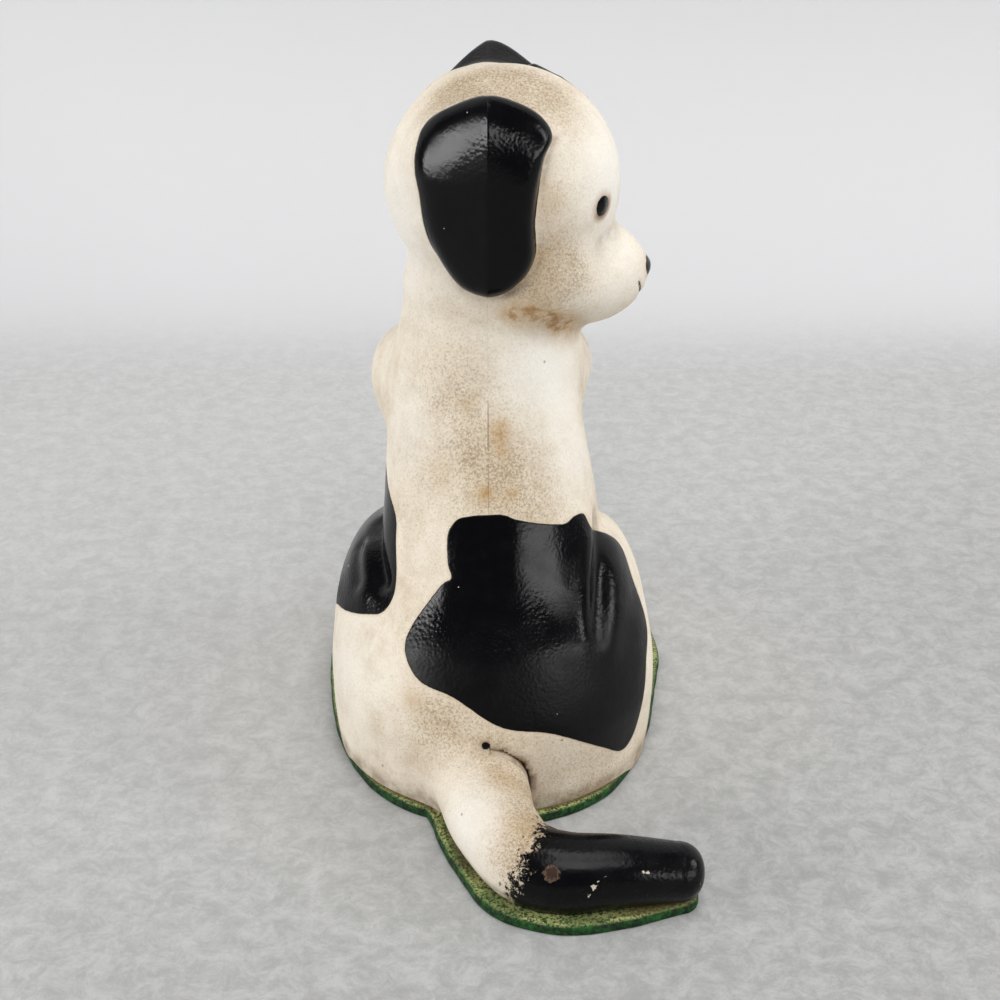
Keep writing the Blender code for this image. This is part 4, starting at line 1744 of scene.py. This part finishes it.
SADDLE = Patch(
    (
        (-13.5, 74.5), (-8.5, 75.5), (-2.5, 76.0), (6.0, 76.0), (13.0, 74.5), (27.5, 72.0),
        (35.0, 71.0), (41.0, 71.5), (48.5, 70.5), (53.0, 65.5), (71.5, 59.0), (76.0, 54.5),
        (70.5, 47.5), (70.0, 35.5), (58.0, 28.5), (50.0, 17.0), (46.0, 12.5), (40.0, 11.5),
        (30.5, 17.5), (16.5, 25.5), (3.5, 28.5), (-9.0, 35.0), (-20.5, 37.5), (-27.0, 43.0),
        (-26.0, 49.0), (-18.0, 58.5), (-14.0, 61.0), (-16.0, 64.5), (-17.0, 71.0),
    )
)
FLANK = Patch(
    (
        (-73.0, 39.0), (-58.0, 42.5), (-48.5, 45.0), (-42.0, 47.0), (-39.0, 51.0), (-40.0, 55.5),
        (-45.0, 63.5), (-49.0, 70.0), (-63.0, 74.0), (-82.0, 77.5), (-111.0, 66.0), (-117.0, 56.0),
        (-112.0, 46.0), (-86.0, 36.5),
    )
)
STAINS = (
    Spot((5.0, -24.2, 123.3), 3.4, 0.7),
    Spot((9.5, -24.2, 122.6), 4.0, 1.0),
    Spot((14.7, -22.8, 120.6), 4.2, 1.1),
    Spot((19.0, -18.0, 117.6), 4.6, 1.1),
    Spot((21.9, -11.5, 114.5), 4.0, 0.7),
    Spot((2.9, -30.2, 95.4), 2.7, 1.0),
    Spot((3.8, -31.8, 90.8), 2.6, 0.7),
    Spot((-5.4, -27.6, 100.6), 2.0, 0.4),
    Spot((-0.7, -36.5, 81.0), 2.2, 0.9),
    Spot((5.6, -36.2, 80.6), 1.9, 0.8),
    Spot((-11.6, -32.8, 84.0), 3.4, 0.3),
    Spot((14.0, -25.8, 151.0), 5.0, 0.3),
    Spot((14.0, -25.8, 140.0), 5.5, 0.35),
    Spot((12.5, -25.8, 131.0), 5.0, 0.35),
    Spot((-19.1, -54.0, 32.3), 3.4, 0.5),
    Spot((4.4, -72.3, 21.3), 6.0, 0.4),
    Spot((7.7, -87.0, 20.5), 6.0, 0.4),
)
# Spots of painted light: the cream is whiter and freer of smudges and points where the figure is most lit.
PAINTED_LIGHT_SPOTS = (
    Spot((16.0, -22.0, 108.0), 15.0, 1.0),
    Spot((28.0, -10.0, 151.0), 16.0, 1.0),
    Spot((32.0, -10.0, 128.0), 11.0, 0.4),
    Spot((-26.0, -12.0, 140.0), 20.0, 1.0),
    Spot((24.0, -24.0, 84.0), 12.0, 0.6),
    Spot((-20.5, -21.5, 91.0), 10.0, 0.6),
    Spot((-34.0, -30.0, 26.0), 16.0, 0.6),
    Spot((-8.0, -84.0, 18.0), 12.0, 0.8),
)
SPECKLED = (
    Spot((-2.0, -34.0, 88.0), 16.0, 0.65),
    Spot((0.0, -10.7, 174.8), 11.0, 1.0),
    Spot((9.0, -11.5, 174.0), 10.0, 1.0),
    Spot((-10.0, -11.0, 172.0), 9.0, 0.7),
    Spot((18.0, -11.0, 171.0), 8.0, 0.6),
    Spot((15.5, -25.2, 152.0), 6.5, 0.5),
    Spot((15.0, -25.0, 138.0), 7.5, 0.8),
    Spot((13.0, -25.2, 128.0), 7.0, 0.9),
    Spot((-10.0, -58.0, 28.0), 11.0, 0.9),
    Spot((4.0, -70.0, 22.0), 9.0, 0.9),
    Spot((-10.0, -26.0, 108.0), 13.0, 0.6),
    Spot((8.0, -38.0, 79.0), 12.0, 0.7),
    Spot((24.0, -54.0, 9.0), 13.0, 0.5),
    Spot((22.0, -21.0, 132.0), 8.0, 0.8),
    Spot((20.0, -19.0, 119.0), 6.0, 0.6),
)
SCUFFS = (
    Spot((22.1, -102.1, 9.7), 0.9, 0.5),
    Spot((22.9, -102.0, 10.8), 0.9, 0.5),
    Spot((23.9, -101.6, 12.4), 1.1, 0.6),
    Spot((25.0, -101.0, 13.7), 1.0, 0.55),
    Spot((26.8, -100.4, 14.6), 0.7, 0.6),
    Spot((27.5, -99.7, 15.7), 0.7, 0.5),
    Spot((30.3, -100.0, 15.2), 0.6, 0.75),
    Spot((32.4, -100.8, 13.3), 0.7, 0.75),
    Spot((35.2, -99.3, 14.6), 0.8, 0.8),
    Spot((36.6, -98.9, 14.5), 0.7, 0.8),
    Spot((48.8, -96.8, 9.3), 1.0, 0.5),
)
BARE_SPOT: Point = (14.2, -100.2, 15.2)


def stand_in(item: bpy.types.Object, side: Side) -> None:
    """Let an object take its half's place in the frame: hide the half's imported node and attach the object to
    its body.

    Args:
        item: The object.
        side: The half that it is part of.
    """
    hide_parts("left_half" if side is Side.LEFT else "right_half")
    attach(item, "root")


@dataclass(frozen=True)
class CastingHalf:
    """One half of the figure's casting, from the plate to the crown, with its half of both ears."""

    side: Side
    scheme: PaintScheme
    frame: PackedFrame
    body_reach: float = 78.0
    head_reach: float = 60.0
    seat_radius: float = 4.9
    seat_x: float = -20.0
    cut_rounding: float = 0.5
    pit_rounding: float = 0.6
    sunk_at_tail: float = 0.05
    tail_zone: float = 14.0
    tail_zone_top: float = 40.0
    left_walk: Flat = (0.5, 9.0)
    right_walk: Flat = (-0.5, 14.0)
    ragged: float = 0.5
    worn_heights: Flat = (50.0, 40.0)
    seam_fill: float = 0.25
    seam_clean: Flat = (92.0, 16.0)
    tail_fill: float = 3.0
    tail_fill_reach: Flat = (4.0, 1.0)

    def skin(self, places: Array, upper: bool) -> Array:
        """Return the field of this half's skin.

        Args:
            places: Points in the casting frame.
            upper: Whether the head's skin is meant, and not the body's.

        Returns:
            One distance for each point.
        """
        puppy = self.scheme.puppy
        field = puppy.head_skin(places) if upper else puppy.body_skin(places)
        if self.side is Side.LEFT and not upper:
            field = smooth_max(field, -self.seat(places), self.cut_rounding)
        return field

    def seat(self, places: Array) -> Array:
        """Return distances to the round hole in the left flank where the screw's head sits."""
        spread = np.hypot(places[..., 1] - SCREW_AXIS[0], places[..., 2] - SCREW_AXIS[1])
        return smooth_max(spread - self.seat_radius, places[..., 0] - self.seat_x, self.cut_rounding)

    def beside_tail(self, places: Array) -> Array:
        """Return the skin's field at the tail: filleted into it on the left half, cut clear on the right.

        Args:
            places: Points in the casting frame.

        Returns:
            One distance for each point.
        """
        puppy = self.scheme.puppy
        field = puppy.body_skin(places)
        if self.side is Side.LEFT:
            field = puppy.with_tail(field, places) + self.sunk_at_tail
        else:
            room = puppy.tail_room - puppy.tail.distance(places)
            field = smooth_max(field, room, self.cut_rounding)
        return smooth_max(field, puppy.pit_radius - away_from(puppy.pit, places), self.pit_rounding)

    def surface(self) -> Array:
        """Find the skin's points, where the rays meet it, and follow the skin to its form beside the tail.

        Returns:
            The points, by rows up the figure and columns round it.
        """
        fan = RayFan(self.side)
        origins, ways = fan.rays()
        split = fan.body_rows
        lower = meet(lambda places: self.skin(places, False), origins[:split], ways[:split], self.body_reach)
        upper = meet(lambda places: self.skin(places, True), origins[split:], ways[split:], self.head_reach)
        found = np.vstack([lower, upper])
        places = origins + ways * found[..., None]
        near = self.scheme.puppy.tail.distance(places) < self.tail_zone
        near &= places[..., 2] < self.tail_zone_top
        walk = self.left_walk if self.side is Side.LEFT else self.right_walk
        found[near] = follow(self.beside_tail, origins[near], ways[near], found[near], *walk)
        return origins + ways * found[..., None]

    def build(self) -> bpy.types.Object:
        """Build the half as one closed mesh with its paint values.

        Rows of points run from the plate to the crown, where they meet in one point. The parting face and the
        underside are flat and close the mesh.

        Returns:
            The half.
        """
        grid = self.surface()
        grid[:, 0, 0] = grid[:, -1, 0] = 0.0
        grid[..., 0] = self.side.value * np.abs(grid[..., 0])
        rows, columns = grid.shape[0] - 1, grid.shape[1]
        places = np.vstack([grid[:-1].reshape(-1, 3), grid[-1, :1]])
        flip = self.side is Side.LEFT
        faces = grid_faces(rows, columns, False, flip)
        pole = len(places) - 1
        faces += pole_faces((rows - 1) * columns, columns, pole, False, flip)
        back = [row * columns for row in range(rows)]
        front = [row * columns + columns - 1 for row in reversed(range(rows))]
        flat = [back + [pole] + front, list(range(columns))[::-1]]
        if flip:
            flat = [face[::-1] for face in flat]
        name = "left_casting" if flip else "right_casting"
        smooth = np.arange(len(faces) + len(flat)) < len(faces)
        item = made_mesh(name, self.frame.metres(places), faces + flat, smooth)
        item.data.polygons.foreach_set("material_index", (~smooth).astype(np.int32))
        self.paint(item, places)
        return item

    def paint(self, item: bpy.types.Object, places: Array) -> None:
        """Store the paint's values on the half.

        The seam counts as farther off beside the tail, and a little farther away from the clean height.

        Args:
            item: The half.
            places: Its points in the casting frame, one row each.
        """
        scheme = self.scheme
        scheme.store(item, places)
        set_value(item, "black_depth", scheme.black(places))
        set_value(item, "ragged", self.ragged)
        set_value(item, "speckled", scheme.spotted(scheme.speckled, places))
        set_value(item, "worn", ramp(*self.worn_heights, places[:, 2]))
        set_value(item, "scuff", 0.0)
        set_value(item, "bare", 0.0)
        middle, width = self.seam_clean
        filled = self.tail_fill * ramp(*self.tail_fill_reach, scheme.puppy.tail.distance(places))
        filled += self.seam_fill * (1.0 - bell(places[:, 2] - middle, width))
        set_value(item, "seam", np.abs(places[:, 0]) + filled)
        set_value(item, "eye_rim", scheme.eye_rim(places))

    def dress(self, item: bpy.types.Object, finish: AgedPaint, bare: BareMetal) -> None:
        """Give the half its paint, its bare flat faces and its place in the frame.

        Args:
            item: The half.
            finish: The paint.
            bare: The bare flat faces' finish.
        """
        item.data.materials.append(finish.make())
        item.data.materials.append(bare.make())
        stand_in(item, self.side)


@dataclass(frozen=True)
class Tail:
    """The tail, cast with the left half: a round profile carried along its middle line."""

    scheme: PaintScheme
    frame: PackedFrame
    steps: int = 26
    sides: int = 112
    tip_steps: int = 18
    tip_length: float = 6.5
    tip_power: float = 2.3
    lowest: float = 0.5
    ragged: float = 0.6
    ragged_edge: float = 32.0
    edge_fade: Flat = (10.0, 1.0)
    speckled_depths: Flat = (-16.0, -2.0)
    speckled_heights: Flat = (8.0, 16.0)
    worn: float = 0.3
    bare_radius: float = 2.3
    seam_off: float = 9.0

    def rings(self) -> Array:
        """Place the tail's rings, each square to the middle line.

        Past the last station the rings shrink to the tip as a rounded end: the radius is a root of one less
        the same power of the share of the tip's length.

        Returns:
            The points by rings along the tail and places round each ring.
        """
        centres, radii = self.scheme.puppy.tail.course(self.steps)
        ahead = np.gradient(centres, axis=0)
        ahead /= np.linalg.norm(ahead, axis=1, keepdims=True)
        share = np.sin(np.linspace(0.0, math.pi / 2, self.tip_steps + 1))[1:, None]
        tip = centres[-1] + ahead[-1] * share * self.tip_length
        shrunk = np.maximum(1.0 - share[:, 0] ** self.tip_power, 0.0) ** (1.0 / self.tip_power)
        centres, radii = np.vstack([centres, tip]), np.concatenate([radii, radii[-1] * shrunk])
        ahead = np.vstack([ahead, np.repeat(ahead[-1:], len(tip), axis=0)])
        across = np.cross(ahead, np.array([0.0, 0.0, 1.0]))
        across /= np.linalg.norm(across, axis=1, keepdims=True)
        up = np.cross(across, ahead)
        turns = np.linspace(0.0, math.tau, self.sides, endpoint=False)
        round_way = across[:, None] * np.cos(turns)[:, None] + up[:, None] * np.sin(turns)[:, None]
        rings = centres[:, None] + round_way * radii[:, None, None]
        swell = UNEVENNESS * ripple(rings) * (radii / radii.max())[:, None]
        rings = rings - round_way * swell[..., None]
        rings[..., 2] = np.maximum(rings[..., 2], self.lowest)
        return rings

    def build(self) -> bpy.types.Object:
        """Build the tail as one closed mesh: the rings, the triangles to the tip, and a flat root.

        Returns:
            The tail.
        """
        rings = self.rings()
        rows = len(rings) - 1
        places = np.vstack([rings[:-1].reshape(-1, 3), rings[-1, :1]])
        faces = grid_faces(rows, self.sides, True, True)
        faces += pole_faces((rows - 1) * self.sides, self.sides, len(places) - 1, True, True)
        root = [list(range(self.sides))]
        smooth = np.arange(len(faces) + len(root)) < len(faces)
        item = made_mesh("tail", self.frame.metres(places), faces + root, smooth)
        self.paint(item, places)
        return item

    def paint(self, item: bpy.types.Object, places: Array) -> None:
        """Store the paint's values on the tail, ragged and speckled near the black's edge.

        Args:
            item: The tail.
            places: Its points in the casting frame, one row each.
        """
        scheme = self.scheme
        scheme.store(item, places)
        depth = scheme.tail_black(places)
        near_edge = ramp(*self.speckled_depths, depth) * ramp(*self.speckled_heights, places[:, 2])
        speckled = scheme.spotted(scheme.speckled, places) + near_edge
        # The pit's black painted shade reaches onto the tail as well.
        set_value(item, "black_depth", np.maximum(depth, scheme.pit(places)))
        set_value(item, "ragged", self.ragged + self.ragged_edge * ramp(*self.edge_fade, np.abs(depth)))
        set_value(item, "speckled", np.clip(speckled, 0.0, 1.0))
        set_value(item, "worn", self.worn)
        set_value(item, "scuff", scheme.spotted(scheme.scuffs, places))
        set_value(item, "bare", bell(away_from(BARE_SPOT, places), self.bare_radius))
        set_value(item, "seam", self.seam_off)
        set_value(item, "eye_rim", 0.0)

    def dress(self, item: bpy.types.Object, finish: AgedPaint) -> None:
        """Give the tail its paint and its place in the frame."""
        item.data.materials.append(finish.make())
        stand_in(item, Side.LEFT)


@dataclass(frozen=True)
class GroundPlate:
    """The thin green plate under one half: a rounded edge carried round its outline."""

    side: Side
    scheme: PaintScheme
    frame: PackedFrame
    tail_gap: float = 0.5
    body_steps: int = 40
    tail_steps: int = 24
    wobble_waves: float = 3.1
    wobble: float = 0.15
    wobble_free: Flat = (1.0, 3.0)
    top_wobble: float = 0.03
    top_from: float = 1.0
    shelter_lift: float = 0.3
    edge: tuple[Flat, ...] = (
        (0.7, 0.0), (0.15, 0.2), (0.0, 0.8), (0.05, 2.0), (0.3, 2.55), (0.75, 2.88), (1.4, 3.0),
    )
    corners: tuple[Flat, ...] = (
        (0.0, -62.5), (-17.2, -58.6), (-30.3, -47.4), (-39.6, -28.0), (-44.1, -6.0), (-46.0, 20.0),
        (-42.0, 43.0), (-25.0, 58.5), (0.0, 63.0), (26.0, 59.0), (44.5, 44.0), (49.6, 20.0),
        (47.6, 2.0), (42.5, -25.0), (32.5, -48.0), (17.5, -59.8),
    )

    def outline(self) -> tuple[Array, Array]:
        """Return this half's outline, clockwise seen from above, and the outward direction at each point.

        The right half keeps its own side of the body's outline. The left half has its side up to where the
        tail's footprint leaves it, then the tail's footprint, and the gap's edge beside the right half.

        Returns:
            The points and the directions, one row each.
        """
        loop = closed_curve(np.array(self.corners), self.body_steps)
        away = outward(loop)
        gap = PARTING_GAP / 2.0
        if self.side is Side.RIGHT:
            keep = loop[:, 0] > gap
            return loop[keep], away[keep]
        foot = self.scheme.puppy.tail.footprint(self.tail_steps)
        foot_away = outward(foot)
        wide = loop + away * self.tail_gap
        left = (loop[:, 0] < -gap) & ~enclosed(loop, foot)
        beside = (wide[:, 0] > -gap) & (wide[:, 1] < 0.0) & enclosed(wide, foot)
        free = ~enclosed(foot, wide)
        first = int(np.flatnonzero(free & ~np.roll(free, 1))[0])
        order = np.roll(np.arange(len(foot)), -first)
        order = order[free[order]]
        turn_back = np.flatnonzero(beside)
        turn_back = turn_back[np.argsort(wide[turn_back, 0])]
        points = np.vstack([loop[left], wide[turn_back], foot[order]])
        aways = np.vstack([away[left], -away[turn_back], foot_away[order]])
        return points, aways

    def build(self) -> bpy.types.Object:
        """Build the plate: its edge profile at every point of the outline, closed above and below.

        The outline wobbles a little, except beside the parting plane, and so does the upper edge.

        Returns:
            The plate's half.
        """
        points, away = self.outline()
        count = len(points)
        wobble = ripple(np.column_stack([points * self.wobble_waves, np.zeros(count)]))
        free = ramp(*self.wobble_free, np.abs(points[:, 0]))
        points = points - away * (self.wobble + self.wobble * wobble * free)[:, None]
        grid = np.zeros((len(self.edge), count, 3))
        for ring, (inset, height) in zip(grid, self.edge):
            ring[:, :2] = points - away * inset
            ring[:, 2] = height
            if height > self.top_from:
                ring[:, 2] *= 1.0 - self.top_wobble * (1.0 + wobble)
        grid[-1, :, 2] = grid[-1, :, 2].mean()
        if self.side is Side.RIGHT:
            grid[..., 0] = np.maximum(grid[..., 0], PARTING_GAP / 2.0)
        places = grid.reshape(-1, 3)
        faces = grid_faces(len(grid), count, True, True)
        flat = [list(range(len(places) - count, len(places)))[::-1], list(range(count))]
        smooth = np.arange(len(faces) + len(flat)) < len(faces)
        name = "left_ground_plate" if self.side is Side.LEFT else "right_ground_plate"
        item = made_mesh(name, self.frame.metres(places), faces + flat, smooth)
        up = np.array([0.0, 0.0, 1.0])
        set_value(item, "height", places[:, 2])
        # Shelter over the plate's top sets its brown painted shade with dirt beside the figure.
        set_value(item, "shelter", self.scheme.shelter(places + up * self.shelter_lift, up))
        return item

    def dress(self, item: bpy.types.Object, finish: WornGreen) -> None:
        """Give the plate its paint and its place in the frame."""
        item.data.materials.append(finish.make())
        stand_in(item, self.side)


@dataclass(frozen=True)
class Lamp:
    """A soft rectangular lamp: its place and target and its size in metres, and its power in watts."""

    name: str
    place: Point
    target: Point
    size: Flat
    power: float

    def build(self) -> None:
        """Add the lamp, turned towards its target."""
        data = bpy.data.lights.new(self.name, "AREA")
        data.shape = "RECTANGLE"
        data.size, data.size_y = self.size
        data.energy = self.power
        item = bpy.data.objects.new(self.name, data)
        bpy.context.scene.collection.objects.link(item)
        away = np.array(self.place) - np.array(self.target)
        away = away / np.linalg.norm(away)
        item.location = self.place
        item.rotation_euler = (math.acos(away[2]), 0.0, math.atan2(away[0], -away[1]))


LAMPS = (
    Lamp("overhead softbox", (0.05, -0.1, 1.2), (0.0, 0.0, 0.08), (0.5, 0.5), 3.2),
    Lamp("front softbox", (0.06, -0.66, 1.13), (0.0, 0.0, 0.12), (0.7, 0.5), 4.6),
    Lamp("left softbox", (-1.10, -0.445, 0.287), (0.0, 0.0, 0.12), (0.56, 0.34), 8.0),
    Lamp("back softbox", (0.90, -0.76, 0.33), (0.0, 0.0, 0.12), (0.78, 0.30), 4.5),
    Lamp("right softbox", (1.05, -0.1, 0.62), (0.0, 0.0, 0.1), (0.4, 0.42), 3.6),
)


@dataclass(frozen=True)
class Studio:
    """A pale floor that sweeps up into a pale wall, soft lamps, and the camera."""

    frame: PackedFrame
    lens: float = 63.0
    stand: Point = (0.0, -420.0, 272.0)
    pitch: float = 26.7
    turn: float = 0.4256
    floor_half: float = 1.6
    wall_start: float = 0.283
    wall_bend: float = 0.12
    wall_top: float = 1.4
    floor_rows: int = 40
    bend_rows: int = 24
    wall_rows: int = 16
    columns: int = 24
    wisps: Noise = Noise(150.0, 8.0, 0.86, (0.36, 0.66), twist=0.4)
    near_colours: tuple[Colour, Colour] = (srgb(160, 160, 158), srgb(188, 188, 186))
    far_colours: tuple[Colour, Colour] = (srgb(196, 196, 195), srgb(212, 212, 211))
    wall_colour: Colour = srgb(216, 216, 217)
    sky_colour: Colour = srgb(246, 247, 250)
    sky_strength: float = 0.17

    def build(self) -> None:
        """Build the floor, the light and the camera."""
        self.floor()
        for lamp in LAMPS:
            lamp.build()
        self.sky()
        self.camera()

    def floor(self) -> bpy.types.Object:
        """Build the floor: a flat sheet whose far part bends up through a quarter circle into a wall.

        Returns:
            The floor.
        """
        flat = np.linspace(-self.floor_half, self.wall_start, self.floor_rows)
        angle = np.linspace(0.0, math.pi / 2, self.bend_rows)[1:]
        bend = self.wall_start + self.wall_bend * np.sin(angle)
        rise = self.wall_bend * (1.0 - np.cos(angle))
        tall = np.linspace(self.wall_bend, self.wall_top, self.wall_rows)[1:]
        depth = np.concatenate([flat, bend, np.full(len(tall), bend[-1])])
        height = np.concatenate([np.zeros(len(flat)), rise, tall])
        across = np.linspace(-self.floor_half, self.floor_half, self.columns)
        grid = np.stack(np.broadcast_arrays(across[None, :], depth[:, None], height[:, None]), axis=2)
        faces = grid_faces(len(depth), len(across), False, False)
        item = made_mesh("studio_floor", grid.reshape(-1, 3), faces)
        item.data.materials.append(self.felt())
        return item

    def felt(self) -> bpy.types.Material:
        """Build the floor's material: wisps of two greys with painted shade, darker towards the camera and to
        the right and lighter towards the wall.

        It is see-through from behind, so that the wall hides nothing when the figure is looked at from the
        front.

        Returns:
            The material.
        """
        material, bench = new_material("pale floor")
        place = bench.node("ShaderNodeSeparateXYZ", Vector=bench.node("ShaderNodeTexCoord").outputs["Object"])
        wall = bench.ranged(place.outputs[1], self.wall_start - 0.04, self.wall_start + 0.05)
        wisps = bench.noise(self.wisps)
        # Painted shade on the floor: darker towards the camera and to the right, lighter towards the wall.
        near, far = bench.blend(wisps, *self.near_colours), bench.blend(wisps, *self.far_colours)
        slant = bench.math("MULTIPLY_ADD", place.outputs[0], -0.6, place.outputs[1])
        away = bench.ranged(slant, -0.25, self.wall_start + 0.1)
        shader = bench.node(
            "ShaderNodeBsdfPrincipled",
            Base_Color=bench.layered(near, (away, far), (wall, self.wall_colour)),
            Roughness=0.95,
            Specular_IOR_Level=0.1,
        )
        behind = bench.node("ShaderNodeNewGeometry").outputs["Backfacing"]
        mixed = bench.node("ShaderNodeMixShader", Fac=behind)
        bench.feed(mixed.inputs[1], shader.outputs[0])
        bench.feed(mixed.inputs[2], bench.node("ShaderNodeBsdfTransparent").outputs[0])
        bench.node("ShaderNodeOutputMaterial", Surface=mixed.outputs[0])
        return material

    def sky(self) -> None:
        """Light the room evenly from all round."""
        world = bpy.data.worlds.new("soft room")
        bpy.context.scene.world = world
        world.use_nodes = True
        bench = Bench(world.node_tree)
        glow = bench.node("ShaderNodeBackground", Color=self.sky_colour, Strength=self.sky_strength)
        bench.node("ShaderNodeOutputWorld", Surface=glow.outputs[0])

    def camera(self) -> None:
        """Add the camera behind and above the figure, looking down at it."""
        data = bpy.data.cameras.new("camera")
        data.lens = self.lens
        data.sensor_width = 36.0
        data.clip_start = 0.01
        item = bpy.data.objects.new("camera", data)
        bpy.context.scene.collection.objects.link(item)
        item.location = self.frame.metres(np.array(self.stand))
        item.rotation_euler = (math.radians(90.0 - self.pitch), 0.0, -math.radians(self.turn))
        bpy.context.scene.camera = item


def report(item: bpy.types.Object) -> None:
    """Log a finished piece."""
    LOG.info("%s: %d points", item.name, len(item.data.vertices))


def main() -> None:
    """Load the frame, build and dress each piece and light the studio."""
    logging.basicConfig(level=logging.INFO, format="%(name)s: %(message)s")
    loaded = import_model()
    bpy.context.scene.view_settings.view_transform = "Standard"
    frame = PackedFrame.from_nodes()
    LOG.info("casting frame shifted by %s mm", frame.shift)
    scheme = PaintScheme(Puppy(), SADDLE, FLANK, STAINS, PAINTED_LIGHT_SPOTS, SPECKLED, SCUFFS)
    for side in Side:
        paint = AgedPaint(f"aged paint {side.name.lower()}")
        half = CastingHalf(side, scheme, frame)
        item = half.build()
        half.dress(item, paint, bare_iron(f"bare iron {side.name.lower()}"))
        report(item)
        plate = GroundPlate(side, scheme, frame)
        item = plate.build()
        plate.dress(item, WornGreen(f"worn green {side.name.lower()}"))
        report(item)
    tail = Tail(scheme, frame)
    item = tail.build()
    tail.dress(item, AgedPaint("aged paint tail"))
    report(item)
    screw = loaded["nodes"]["assembly_screw"]
    screw.data.materials.clear()
    screw.data.materials.append(dull_steel("browned steel").make())
    Studio(frame).build()


if __name__ == "__main__":
    main()
